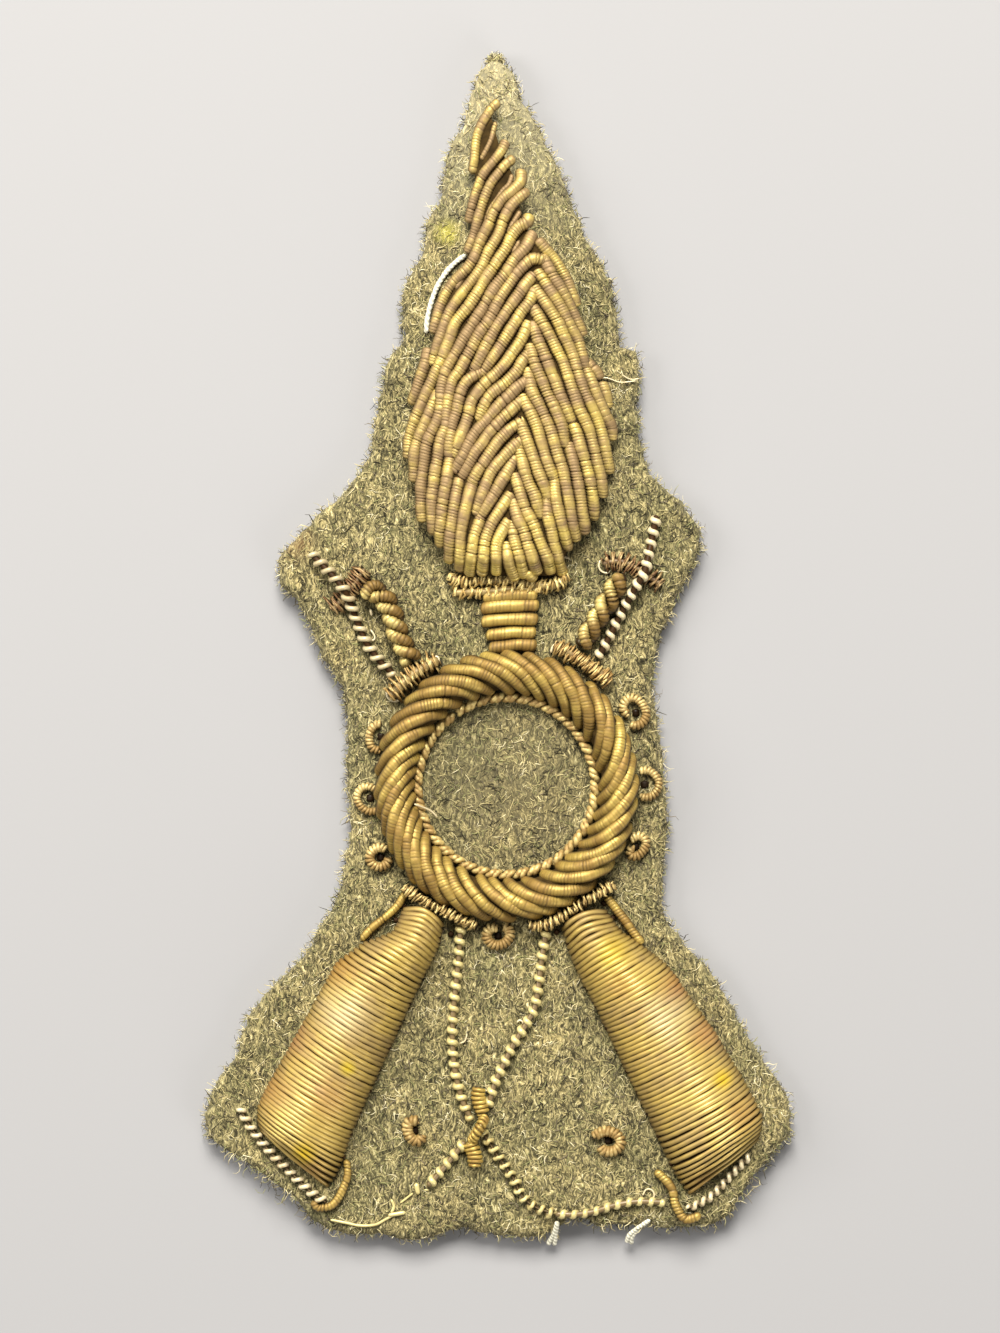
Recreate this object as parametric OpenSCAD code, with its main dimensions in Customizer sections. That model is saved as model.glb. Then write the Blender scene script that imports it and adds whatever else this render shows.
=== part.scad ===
// Cloth cap badge: a flaming grenade over two crossed rifles, sewn in gold bullion wire on felt.
// Flat on its back: the felt lies on z = 0, the embroidery faces +Z, the flame points to +Y.

/* [Badge] */
// Height of the cut felt, from its tip to its lower edge
badge_h = 80; // [60:1:100]
// Thickness of the felt backing
cloth_t = 1.8; // [1.4:0.1:2.2]

/* [Raised work] */
// Height of the flame's padded dome above the felt
flame_h = 2.9; // [2:0.1:3.6]
// Height of the grenade ring above the felt
ring_h = 2.5; // [1.8:0.1:3.2]
// Height of the wound rifle stocks above the felt
stock_h = 3.3; // [2.4:0.1:4]

/* [Grenade ring] */
// Half width of the ring
ring_rx = 8.85; // [8.5:0.05:8.85]
// Half height of the ring
ring_ry = 9.1; // [8.8:0.05:9.1]
// Radius at which the ring's strands end inside
ring_in = 6.2; // [6.2:0.1:7]
// Number of slanted purl strands round the ring
ring_strands = 41; // [30:1:48]
// Angle through which each strand turns on its way inward
ring_turn = 29; // [15:1:45]
// Diameter of the fine twisted cord inside the ring
inner_cord_d = 0.5; // [0.3:0.05:0.5]

/* [Purl and cord] */
// Diameter of the four purls of the neck
neck_d = 0.9; // [0.87:0.01:0.9]
// Diameter of the two sling cords
sling_d = 0.72; // [0.5:0.02:0.76]
// Diameter of the two barrel cords
barrel_d = 0.85; // [0.6:0.05:0.9]
// Width of the thick twisted purl of the two fore-ends
forend_d = 1.25; // [0.9:0.05:1.35]
// Diameter of the purl of the small loops round the ring
loop_purl_d = 0.56; // [0.4:0.02:0.58]

/* [Hidden] */
k = badge_h / 80;
top = cloth_t / k;
ring_x = 0.6;
ring_y = -9.18;

// Felt outline, clockwise from the tip: x, y
felt_edge = [
    [-0.1, 40.0], [1.2, 38.7], [1.5, 37.2], [2.9, 34.9], [4.0, 32.6], [5.2, 29.8], [6.4, 27.0], [7.7, 24.9],
    [8.0, 21.6], [8.7, 19.8], [9.4, 20.3], [9.4, 18.4], [9.3, 16.2], [9.9, 13.0], [10.2, 11.8], [12.4, 10.0],
    [13.6, 8.0], [13.3, 6.0], [12.2, 3.8], [11.2, 1.6], [10.4, -0.8], [10.7, -4.0], [11.2, -8.0], [11.4, -12.0],
    [11.1, -15.8], [11.3, -18.0], [13.2, -20.6], [15.0, -22.8], [16.7, -26.1], [18.7, -28.9], [19.8, -31.6],
    [19.1, -33.8], [17.4, -36.3], [15.6, -38.3], [13.0, -39.1], [9.5, -38.8], [6.7, -39.0], [6.2, -38.4],
    [4.5, -38.4], [4.0, -39.3], [1.0, -39.7], [-2.4, -39.1], [-4.2, -39.5], [-6.0, -40.0], [-8.2, -39.5],
    [-11.4, -39.3], [-13.4, -37.7], [-16.0, -36.2], [-18.4, -34.2], [-19.8, -32.0], [-19.2, -29.8],
    [-17.6, -27.3], [-16.8, -25.0], [-15.0, -22.8], [-13.0, -20.8], [-11.7, -18.4], [-10.3, -15.2],
    [-9.9, -11.0], [-10.1, -6.0], [-10.4, -2.6], [-11.7, -0.6], [-12.6, 1.6], [-13.5, 3.4], [-14.6, 4.6],
    [-14.7, 6.2], [-13.2, 7.9], [-11.2, 9.9], [-9.2, 12.0], [-8.4, 14.2], [-8.0, 16.6], [-7.4, 19.2],
    [-6.3, 21.4], [-6.4, 23.0], [-6.0, 25.2], [-4.9, 27.0], [-4.7, 28.6], [-3.7, 31.0], [-3.4, 33.2],
    [-2.3, 35.4], [-1.8, 37.4], [-1.0, 39.2]];

// Key strands of the flame left of its spine: strand number, then five points from spine to outer end
left_strands = [
    [0, [0.5, 7.3], [0.4, 6.7], [0.3, 6.2], [0.3, 5.8], [0.25, 5.4]],
    [1, [0.6, 8.7], [0.0, 8.0], [-0.2, 7.1], [-0.3, 6.2], [-0.35, 5.4]],
    [4, [1.1, 13.1], [-0.5, 11.1], [-1.7, 9.1], [-2.3, 7.2], [-2.5, 5.5]],
    [7, [1.65, 16.4], [-0.6, 14.0], [-2.5, 11.7], [-3.5, 9.3], [-4.0, 6.9]],
    [10, [1.95, 19.9], [-0.3, 17.6], [-2.4, 14.9], [-3.9, 11.8], [-4.8, 8.5]],
    [13, [2.3, 23.2], [0.0, 20.6], [-2.3, 17.4], [-4.2, 13.8], [-5.4, 9.9]],
    [15, [2.45, 25.4], [-0.1, 22.6], [-2.4, 19.0], [-4.6, 15.2], [-5.9, 11.6]],
    [17, [2.35, 27.6], [0.0, 25.0], [-2.1, 21.2], [-4.2, 17.5], [-6.0, 13.7]],
    [19, [2.25, 29.7], [0.2, 27.0], [-1.7, 23.4], [-3.7, 19.9], [-5.6, 16.4]],
    [21, [2.0, 31.6], [0.2, 28.9], [-1.3, 25.7], [-3.0, 22.5], [-4.8, 19.4]],
    [23, [1.25, 33.8], [-0.3, 31.4], [-1.2, 28.4], [-2.4, 25.5], [-4.2, 22.4]],
    [25, [0.2, 36.6], [-1.0, 35.2], [-1.6, 32.6], [-1.9, 29.7], [-2.1, 27.0]]];

// Key strands of the flame right of its spine, in the same columns
right_strands = [
    [0, [0.5, 7.3], [0.6, 6.7], [0.7, 6.2], [0.75, 5.8], [0.85, 5.4]],
    [1, [0.7, 8.7], [1.0, 7.8], [1.3, 6.9], [1.5, 6.1], [1.7, 5.4]],
    [3, [1.05, 11.6], [1.8, 9.9], [2.4, 8.3], [2.9, 6.9], [3.3, 5.5]],
    [5, [1.4, 14.0], [2.5, 12.1], [3.3, 10.1], [4.0, 8.2], [4.5, 6.3]],
    [8, [2.0, 18.2], [3.4, 15.6], [4.4, 12.9], [5.1, 10.1], [5.5, 7.4]],
    [11, [2.3, 22.2], [4.0, 19.5], [5.2, 16.4], [6.3, 12.9], [6.7, 9.0]],
    [13, [2.45, 25.0], [4.3, 22.6], [5.7, 19.2], [6.9, 15.3], [7.6, 11.8]],
    [14, [2.45, 26.3], [4.2, 24.7], [5.2, 23.0], [5.8, 21.1], [6.0, 19.4]],
    [15, [2.4, 27.5], [3.4, 26.8], [4.1, 26.0], [4.5, 25.2], [4.8, 24.4]]];

// Rifle stocks: share of length, outer edge x, y, inner edge x, y, share of full height
left_stock_shape = [
    [0.0, -6.05, -16.95, -3.6, -18.1, 0.55], [0.09, -7.0, -18.8, -4.2, -20.3, 0.85],
    [0.18, -8.7, -19.7, -5.0, -21.9, 0.95], [0.3, -10.8, -21.0, -5.95, -23.9, 1.0],
    [0.58, -13.3, -25.6, -8.2, -28.8, 1.0], [0.8, -15.4, -29.3, -9.9, -32.6, 0.97],
    [0.91, -16.2, -30.9, -10.5, -34.6, 0.85], [1.0, -16.0, -32.1, -11.6, -36.0, 0.5]];
right_stock_shape = [
    [0.0, 6.95, -17.25, 4.3, -18.75, 0.55], [0.09, 8.2, -19.0, 5.05, -20.9, 0.85],
    [0.18, 9.7, -20.0, 5.75, -22.3, 0.95], [0.3, 11.5, -21.4, 6.7, -24.1, 1.0],
    [0.58, 14.6, -25.8, 8.95, -28.9, 1.0], [0.8, 16.8, -29.4, 10.8, -32.7, 0.97],
    [0.91, 17.9, -31.5, 11.9, -35.2, 0.85], [1.0, 17.6, -33.3, 13.3, -36.8, 0.5]];

// Cords and purls laid on the felt: x, y and, where one lies on another, its lift
left_barrel_route = [[-12.5, 6.4], [-11.2, 5.1, 0.45], [-10.3, 4.0, 0.6], [-9.9, 3.1, 0.3], [-9.5, 2.0],
                     [-8.8, 0.4], [-7.8, -0.9], [-6.95, -1.65]];
right_barrel_route = [[10.75, 9.0], [10.45, 7.6], [10.2, 6.5, 0.3], [9.9, 5.2, 0.6], [9.3, 4.2, 0.45],
                      [8.4, 2.6], [7.5, 0.8], [6.8, -0.5]];
left_barrel_band_route = [[-11.5, 2.6], [-10.6, 3.5], [-9.7, 4.4], [-8.9, 5.35]];
right_barrel_band_route = [[7.1, 5.8], [8.2, 6.0], [9.3, 5.6], [10.3, 4.9], [11.1, 4.4]];
left_forend_route = [[-8.7, 4.1], [-7.6, 3.7], [-7.0, 2.4], [-6.6, 1.0], [-6.0, -0.2]];
right_forend_route = [[8.2, 4.85], [7.6, 3.8], [6.9, 2.4], [6.3, 1.3], [5.95, 0.5]];
left_ring_band_route = [[-7.2, -3.0], [-6.1, -1.95], [-5.1, -1.15], [-4.2, -0.6]];
right_ring_band_route = [[3.8, 0.35], [5.1, -0.25], [6.4, -1.15], [7.6, -2.0]];
left_stock_band_route = [[-6.3, -16.0], [-5.4, -16.7], [-4.4, -17.25], [-3.1, -17.9], [-1.6, -18.65]];
right_stock_band_route = [[7.8, -15.8], [7.1, -16.4], [5.8, -17.1], [4.4, -17.9], [2.3, -18.65]];
left_guard_route = [[-6.6, -16.8], [-7.4, -17.9], [-8.3, -18.75], [-9.3, -19.35]];
right_guard_route = [[7.7, -16.8], [8.5, -17.7], [9.3, -18.7], [9.95, -19.5]];
left_heel_route = [[-10.2, -34.5], [-10.15, -35.6], [-10.6, -36.7], [-11.3, -37.5], [-12.1, -37.8]];
right_heel_route = [[10.8, -35.2], [11.7, -36.3], [12.1, -37.6], [12.7, -38.5], [13.7, -38.2]];
left_butt_route = [[-17.4, -31.2], [-16.5, -32.5], [-15.2, -34.0], [-13.8, -35.4], [-12.5, -36.7]];
right_butt_route = [[17.2, -34.2], [16.1, -35.4], [14.8, -36.7], [13.8, -37.3], [12.95, -37.45]];
left_sling_route = [[-2.5, -18.95], [-2.6, -22.0], [-2.8, -25.5], [-2.75, -28.6], [-2.3, -30.8], [-1.4, -32.3],
                    [-0.2, -33.9], [1.0, -35.5], [1.9, -37.1], [3.6, -37.9], [6.4, -37.85], [9.0, -37.35],
                    [11.35, -37.3]];
right_sling_upper_route = [[3.0, -18.95], [2.8, -21.6], [2.3, -24.6], [0.9, -27.2], [-0.2, -29.4], [-0.65, -30.9]];
right_sling_lower_route = [[-2.2, -33.2], [-3.5, -34.8], [-4.7, -36.2]];
crossing_route = [[-0.85, -31.3, 0.3], [-1.1, -31.75, 0.9], [-1.45, -32.3, 0.9], [-1.85, -32.8, 0.25]];
upper_keeper_route = [[-1.45, -29.5], [-1.45, -30.0], [-1.4, -30.5]];
lower_keeper_route = [[-1.35, -33.55], [-1.45, -34.1], [-1.2, -34.8]];
loose_end_route = [[-5.2, -36.5], [-6.6, -37.3], [-7.6, -38.3], [-9.2, -38.7], [-11.2, -38.6]];
left_eyelet_route = [[-5.4, -31.75], [-6.1, -31.8], [-6.15, -32.5], [-5.8, -33.1], [-5.3, -33.4]];
right_eyelet_route = [[6.5, -32.75], [7.3, -32.5], [8.2, -32.7], [8.5, -33.25], [8.0, -33.75], [6.9, -33.7]];
upper_collar_route = [[-3.2, 4.95], [-2.2, 4.75], [0.0, 4.75], [2.0, 4.8], [3.4, 4.85], [4.8, 5.1]];
lower_collar_route = [[-2.9, 3.95], [-1.4, 3.95], [0.2, 4.0], [2.0, 4.05], [3.2, 4.1], [4.4, 4.3]];
padding_route = [[-2.35, 27.0], [-3.4, 26.1], [-4.3, 24.7], [-4.85, 23.1], [-5.05, 21.5]];

// point f of the way between b and c on a smooth curve through a, b, c, d
function smooth(a, b, c, d, f) = 0.5 * (2 * b + (c - a) * f + (2 * a - 5 * b + 4 * c - d) * f * f
    + (3 * b - a - 3 * c + d) * f * f * f);
function lift(p) = [p[0], p[1], len(p) > 2 ? p[2] : 0];
function closed_curve(p, n) = [for (i = [0 : len(p) - 1], j = [0 : n - 1])
    smooth(p[(i + len(p) - 1) % len(p)], p[i], p[(i + 1) % len(p)], p[(i + 2) % len(p)], j / n)];
function open_curve(q, n) = let (p = [for (v = q) lift(v)], m = len(p) - 1)
    [for (i = [0 : m - 1], j = [0 : n - (i == m - 1 ? 0 : 1)])
        smooth(p[max(i - 1, 0)], p[i], p[i + 1], p[min(i + 2, m)], j / n)];
function unit(v) = v / norm(v);
function heading(p, i) = unit(p[min(i + 1, len(p) - 1)] - p[max(i - 1, 0)]);

// faces of a closed skin over rings of n points each
function skin_faces(rings, n) = concat(
    [[for (j = [0 : n - 1]) j]],
    [for (i = [0 : rings - 2], j = [0 : n - 1])
        [i * n + j, (i + 1) * n + j, (i + 1) * n + (j + 1) % n, i * n + (j + 1) % n]],
    [[for (j = [n - 1 : -1 : 0]) (rings - 1) * n + j]]);

// eight-sided tube lying on the felt along a route, w wide and h high
module laid_tube(route, w, h, steps = 3) {
    p = open_curve(route, steps);
    points = [for (i = [0 : len(p) - 1], j = [0 : 7])
        let (g = heading(p, i), side = unit([g[1], -g[0], 0]), a = 22.5 + 45 * j)
        [p[i][0], p[i][1], p[i][2] + h / 2] + side * (w / 2) * cos(a) / cos(22.5)
            + [0, 0, (h / 2) * sin(a) / cos(22.5)]];
    translate([0, 0, top]) polyhedron(points, skin_faces(len(p), 8), convexity = 6);
}

// ring of purl standing open by a gap, at an angle
module loop(x, y, r, gap, turn) {
    translate([x, y, top + loop_purl_d / 2]) rotate([0, 0, turn + gap / 2])
        rotate_extrude(angle = 360 - gap, $fn = 48) translate([r, 0]) circle(d = loop_purl_d, $fn = 20);
}

// strand t of a family, as its five points
function strand(keys, t) = let (
    last = len(keys) - 1,
    j = min(last - 1, max([for (i = [0 : last - 1]) keys[i][0] <= t ? i : 0])),
    f = (t - keys[j][0]) / (keys[j + 1][0] - keys[j][0]))
    [for (c = [1 : 5]) keys[j][c] * (1 - f) + keys[j + 1][c] * f];

// half of the flame: one ridge for each strand, domed from the spine down to the outer edge
module flame_half(keys, side) {
    last = keys[len(keys) - 1][0];
    rows = 2 * last + 2;
    n = 7;
    base = [for (r = [0 : rows]) let (t = min(last, max(0, (r - 1) / 2)), s = strand(keys, t),
                c = open_curve([s[0] - [side * 0.3, 0], s[0], s[1], s[2], s[3], s[4]], 1))
            [for (i = [0 : 5]) let (u = i < 2 ? 0 : (i - 1) / 4,
                            crest = r % 2 == 0 ? 0.78 : 1,
                            tip = 1 - 0.45 * pow(max(0, t / last - 0.55) / 0.45, 2))
                [c[i][0], c[i][1] - (r == 0 ? 0.2 : 0) + (r == rows ? 0.3 : 0),
                 crest * flame_h * tip * (0.34 + 0.66 * sqrt(max(0, 1 - u * u)))]]];
    points = [for (r = [0 : rows]) for (q = concat([[base[r][0][0], base[r][0][1], 0]], base[r],
                [[base[r][5][0], base[r][5][1], 0]])) q];
    m = 8;
    faces = concat(
        side < 0 ? [[for (j = [m - 1 : -1 : 0]) j]] : [[for (j = [0 : m - 1]) j]],
        [for (r = [0 : rows - 1], j = [0 : m - 1]) let (a = r * m + j, b = r * m + (j + 1) % m,
                c = (r + 1) * m + (j + 1) % m, d = (r + 1) * m + j)
            each (side < 0 ? [[a, b, c], [a, c, d]] : [[a, c, b], [a, d, c]])],
        side < 0 ? [[for (j = [0 : m - 1]) rows * m + j]] : [[for (j = [m - 1 : -1 : 0]) rows * m + j]]);
    translate([0, 0, top]) polyhedron(points, faces, convexity = 8);
}

// half-round padded stock, wound across its length
module stock_body(shape, flip) {
    n = 9;
    rows = [for (v = shape) [for (i = [0 : n - 1]) let (f = i / (n - 1))
        [v[1] * (1 - f) + v[3] * f, v[2] * (1 - f) + v[4] * f,
         stock_h * v[5] * (i == 0 || i == n - 1 ? 0.25 : pow(sin(180 * f), 0.55))]]];
    points = [for (r = rows) for (q = concat([[r[0][0], r[0][1], 0]], r, [[r[n - 1][0], r[n - 1][1], 0]])) q];
    m = n + 2;
    mesh = [for (i = [0 : len(shape) - 2], j = [0 : m - 1]) let (a = i * m + j, b = i * m + (j + 1) % m,
            c = (i + 1) * m + (j + 1) % m, d = (i + 1) * m + j)
        each (flip ? [[a, c, b], [a, d, c]] : [[a, b, c], [a, c, d]])];
    ends = [[for (j = [0 : m - 1]) flip ? j : m - 1 - j],
            [for (j = [0 : m - 1]) (len(shape) - 1) * m + (flip ? m - 1 - j : j)]];
    translate([0, 0, top]) polyhedron(points, concat(mesh, ends), convexity = 4);
}

module cloth_backing() color("darkkhaki") scale(k) linear_extrude(top) polygon(closed_curve(felt_edge, 2));
module padding_thread() color("ivory") scale(k) laid_tube(padding_route, 0.35, 0.35, 2);
module flame() color("gold") scale(k) {
    flame_half(left_strands, -1);
    flame_half(right_strands, 1);
}
module flame_collar_upper() color("peru") scale(k) laid_tube(upper_collar_route, 0.7, 0.9, 2);
module flame_collar_lower() color("peru") scale(k) laid_tube(lower_collar_route, 0.65, 0.8, 2);
module grenade_neck() color("gold") scale(k) for (v = [[0.47, 2.68, -0.6], [1.33, 2.6, -0.9], [2.19, 2.8, -1.1],
                                                       [3.05, 2.75, -1.15]])
    translate([v[2], v[0], top + neck_d / 2]) rotate([0, 90, 0]) cylinder(d = neck_d, h = v[1] - v[2], $fn = 24);
// spiral ridges: each strand turns as it runs inward, over a half-round body
module grenade_ring() color("gold") scale(k) {
    n = 2 * ring_strands;
    shares = [0, 0.12, 0.35, 0.6, 0.85, 1];
    heights = [0.35, 0.72, 1, 0.97, 0.7, 0.35];
    m = len(shares);
    points = [for (j = [0 : n - 1]) for (i = [-1 : m]) let (
            c = min(m - 1, max(0, i)),
            a = 360 * j / n - ring_turn * shares[c],
            rx = ring_rx + (ring_in - ring_rx) * shares[c],
            ry = ring_ry + (ring_in - ring_ry) * shares[c])
        [ring_x + rx * cos(a), ring_y + ry * sin(a),
         top + (i < 0 || i == m ? 0 : ring_h * heights[c] * (j % 2 == 0 ? 1 : 0.8))]];
    w = m + 2;
    polyhedron(points, [for (j = [0 : n - 1], i = [0 : w - 1]) let (
            a = j * w + i, b = j * w + (i + 1) % w, c = ((j + 1) % n) * w + (i + 1) % w, d = ((j + 1) % n) * w + i)
        each [[a, b, c], [a, c, d]]], convexity = 8);
}
module ring_inner_cord() color("gold") scale(k) translate([ring_x, ring_y, top + inner_cord_d / 2])
    rotate([0, 0, 152]) rotate_extrude(angle = 332, $fn = 72) translate([5.86, 0])
        circle(d = inner_cord_d, $fn = 16);
module ring_loop_right_upper() color("gold") scale(k) loop(9.35, -4.05, 0.72, 20, 215);
module ring_loop_right_middle() color("gold") scale(k) loop(10.5, -9.1, 0.7, 70, 150);
module ring_loop_right_lower() color("gold") scale(k) loop(9.68, -13.35, 0.62, 60, 140);
module ring_loop_bottom() color("gold") scale(k) loop(0.1, -19.42, 0.72, 40, 90);
module ring_loop_left_upper() color("gold") scale(k) loop(-8.85, -5.7, 0.7, 110, 30);
module ring_loop_left_middle() color("gold") scale(k) loop(-9.2, -10.1, 0.6, 50, 0);
module ring_loop_left_lower() color("gold") scale(k) loop(-8.15, -14.0, 0.7, 20, 60);
module left_barrel_cord() color("khaki") scale(k) laid_tube(left_barrel_route, barrel_d, barrel_d);
module right_barrel_cord() color("khaki") scale(k) laid_tube(right_barrel_route, barrel_d, barrel_d);
module left_barrel_band() color("peru") scale(k) laid_tube(left_barrel_band_route, 0.9, 0.5, 2);
module right_barrel_band() color("peru") scale(k) laid_tube(right_barrel_band_route, 0.85, 0.5, 2);
module left_forend() color("gold") scale(k) laid_tube(left_forend_route, forend_d, forend_d);
module right_forend() color("gold") scale(k) laid_tube(right_forend_route, forend_d, forend_d);
module left_ring_band() color("peru") scale(k) laid_tube(left_ring_band_route, 1.05, 1.3, 2);
module right_ring_band() color("peru") scale(k) laid_tube(right_ring_band_route, 0.95, 1.3, 2);
module left_stock_band() color("peru") scale(k) laid_tube(left_stock_band_route, 0.62, 1.2, 2);
module right_stock_band() color("peru") scale(k) laid_tube(right_stock_band_route, 0.62, 1.2, 2);
module left_stock() color("gold") scale(k) stock_body(left_stock_shape, false);
module right_stock() color("gold") scale(k) stock_body(right_stock_shape, true);
module left_trigger_guard() color("gold") scale(k) laid_tube(left_guard_route, 0.55, 0.6, 2);
module right_trigger_guard() color("gold") scale(k) laid_tube(right_guard_route, 0.55, 0.6, 2);
module left_heel_purl() color("gold") scale(k) laid_tube(left_heel_route, 0.5, 0.5);
module right_heel_purl() color("gold") scale(k) laid_tube(right_heel_route, 0.55, 0.55);
module left_butt_cord() color("khaki") scale(k) laid_tube(left_butt_route, 0.62, 0.62);
module right_butt_cord() color("khaki") scale(k) laid_tube(right_butt_route, 0.55, 0.6);
module left_sling() color("khaki") scale(k) laid_tube(left_sling_route, sling_d, sling_d);
module right_sling_upper() color("khaki") scale(k) laid_tube(right_sling_upper_route, sling_d, sling_d);
module right_sling_lower() color("khaki") scale(k) laid_tube(right_sling_lower_route, sling_d, sling_d);
module sling_crossing_purl() color("gold") scale(k) laid_tube(crossing_route, 0.6, 0.6);
module sling_keeper_upper() color("gold") scale(k) laid_tube(upper_keeper_route, 0.75, 0.75, 1);
module sling_keeper_lower() color("gold") scale(k) laid_tube(lower_keeper_route, 0.7, 0.75, 1);
module sling_loose_end() color("khaki") scale(k) laid_tube(loose_end_route, 0.3, 0.3);
module left_eyelet() color("gold") scale(k) laid_tube(left_eyelet_route, 0.45, 0.45);
module right_eyelet() color("gold") scale(k) laid_tube(right_eyelet_route, 0.48, 0.48);

cloth_backing();
padding_thread();
flame();
flame_collar_upper();
flame_collar_lower();
grenade_neck();
grenade_ring();
ring_inner_cord();
ring_loop_right_upper();
ring_loop_right_middle();
ring_loop_right_lower();
ring_loop_bottom();
ring_loop_left_upper();
ring_loop_left_middle();
ring_loop_left_lower();
left_barrel_cord();
right_barrel_cord();
left_barrel_band();
right_barrel_band();
left_forend();
right_forend();
left_ring_band();
right_ring_band();
left_stock_band();
right_stock_band();
left_stock();
right_stock();
left_trigger_guard();
right_trigger_guard();
left_heel_purl();
right_heel_purl();
left_butt_cord();
right_butt_cord();
left_sling();
right_sling_upper();
right_sling_lower();
sling_crossing_purl();
sling_keeper_upper();
sling_keeper_lower();
sling_loose_end();
left_eyelet();
right_eyelet();
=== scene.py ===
"""Cloth cap badge: a flaming grenade over two crossed rifles, sewn by hand in gold wire on felt.

Lengths are in millimetres until a mesh is made. The felt's back is at z = 0 and the flame points to +Y.
"""

import bpy
import numpy as np
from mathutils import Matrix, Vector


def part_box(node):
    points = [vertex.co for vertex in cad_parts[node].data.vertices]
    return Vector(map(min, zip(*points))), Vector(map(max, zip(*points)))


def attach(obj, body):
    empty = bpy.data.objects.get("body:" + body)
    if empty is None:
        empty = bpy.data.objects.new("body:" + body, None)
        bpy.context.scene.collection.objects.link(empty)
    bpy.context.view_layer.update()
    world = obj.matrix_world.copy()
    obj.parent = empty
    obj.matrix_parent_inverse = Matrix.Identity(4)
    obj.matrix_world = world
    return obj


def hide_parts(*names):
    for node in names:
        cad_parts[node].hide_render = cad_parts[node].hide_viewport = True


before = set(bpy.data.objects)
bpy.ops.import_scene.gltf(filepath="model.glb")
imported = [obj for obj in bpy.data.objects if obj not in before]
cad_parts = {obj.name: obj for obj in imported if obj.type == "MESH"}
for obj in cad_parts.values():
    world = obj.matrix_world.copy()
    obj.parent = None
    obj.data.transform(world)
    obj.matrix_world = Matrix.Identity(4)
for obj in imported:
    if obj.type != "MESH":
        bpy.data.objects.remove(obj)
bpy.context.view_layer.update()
MM = 0.001
TURN = 2 * np.pi

# The stand: a pale floor that the felt lies on, a camera square above the badge, a wide soft lamp
# beyond the flame's tip, and weaker ones at the sides, so that the wires shine on their upper sides.
VIEW_X, VIEW_Y = 0.17, -1.11
CAMERA_HIGH, LENS = 302.0, 119.9
FLOOR_SIZE, SENSOR = 900.0, 36


def new_material(name):
    """An empty material, given with its node tree and its shader."""
    made = bpy.data.materials.new(name)
    made.use_nodes = True
    return made, made.node_tree, made.node_tree.nodes["Principled BSDF"]


def fill(tree, node, sockets):
    """Gives each named socket of a node a plain value, a colour, or a link from the socket that feeds it."""
    for name, value in sockets.items():
        socket = node.inputs[name]
        if isinstance(value, bpy.types.NodeSocket):
            tree.links.new(value, socket)
        elif socket.type == "RGBA" and len(value) == 3:
            socket.default_value = (*value, 1)
        else:
            socket.default_value = value


pale_floor, tree, shader = new_material("pale_floor")
fill(tree, shader, {"Base Color": (0.28, 0.28, 0.29), "Roughness": 0.9})
half = FLOOR_SIZE / 2 * MM
corners = [(-half, -half, 0), (half, -half, 0), (half, half, 0), (-half, half, 0)]
floor_mesh = bpy.data.meshes.new("floor")
floor_mesh.from_pydata(corners, [], [(0, 1, 2, 3)])
floor_mesh.materials.append(pale_floor)
floor = bpy.data.objects.new("floor", floor_mesh)
bpy.context.scene.collection.objects.link(floor)

camera = bpy.data.objects.new("camera", bpy.data.cameras.new("camera"))
camera.data.lens = LENS
camera.data.sensor_width = SENSOR
camera.data.clip_start = 0.01
camera.location = (VIEW_X * MM, VIEW_Y * MM, CAMERA_HIGH * MM)
bpy.context.scene.collection.objects.link(camera)
bpy.context.scene.camera = camera


def lamp(name, place, size, watts, colour):
    """A square lamp of that size that looks at the badge from its place."""
    data = bpy.data.lights.new(name, "AREA")
    data.size = size * MM
    data.energy = watts
    data.color = colour
    made = bpy.data.objects.new(name, data)
    made.location = [v * MM for v in place]
    made.rotation_mode = "QUATERNION"
    made.rotation_quaternion = made.location.to_track_quat("Z", "Y")
    bpy.context.scene.collection.objects.link(made)


lamp("key_lamp", (-20, 390, 440), 280, 8.8, (1.0, 0.96, 0.88))
lamp("side_lamp", (-400, 90, 300), 240, 1.6, (1.0, 0.96, 0.9))
lamp("low_lamp", (300, -330, 220), 260, 0.9, (1.0, 0.96, 0.9))
world = bpy.data.worlds.new("studio")
world.use_nodes = True
world.node_tree.nodes["Background"].inputs["Color"].default_value = (0.97, 0.96, 0.94, 1)
world.node_tree.nodes["Background"].inputs["Strength"].default_value = 0.3
bpy.context.scene.world = world
bpy.context.scene.view_settings.view_transform = "Standard"

# Felt backing: wool felt, olive khaki, about 2 mm thick, cut by hand round the embroidery with a
# little nub here and there. Its face is matted fibre, and loose ends stand out along the cut edge.
FELT_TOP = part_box("cloth_backing")[1].z / MM
FELT_ROWS, FELT_COLUMNS = 270, 84
FELT_FOOT, FELT_FOOT_REACH, FELT_LAST_ROW, FELT_TIP = -38.2, 6.0, 39.93, 40.0
FELT_ROUND, FELT_ROUND_DEEP = 0.7, 0.3
EDGE_LEVELS, EDGE_BULGE, EDGE_RAGGED = (0.72, 0.42, 0.15), 0.05, 0.07
CUT_FINE, CUT_COARSE, FOOT_FINE = 0.13, 0.12, 0.14


def ripple(x, y, size, seed):
    """Smooth random height from -1 to 1: seeded values on a square lattice, eased by 3f^2 - 2f^3."""
    table = np.random.default_rng(seed).uniform(-1, 1, (97, 97))
    u, v = np.asarray(x) / size + 500, np.asarray(y) / size + 500
    i, j = np.floor(u).astype(int), np.floor(v).astype(int)
    f, g = u - i, v - j
    f, g = f * f * (3 - 2 * f), g * g * (3 - 2 * g)
    a, b = table[i % 97, j % 97], table[(i + 1) % 97, j % 97]
    c, d = table[i % 97, (j + 1) % 97], table[(i + 1) % 97, (j + 1) % 97]
    return (a * (1 - f) + b * f) * (1 - g) + (c * (1 - f) + d * f) * g


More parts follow.
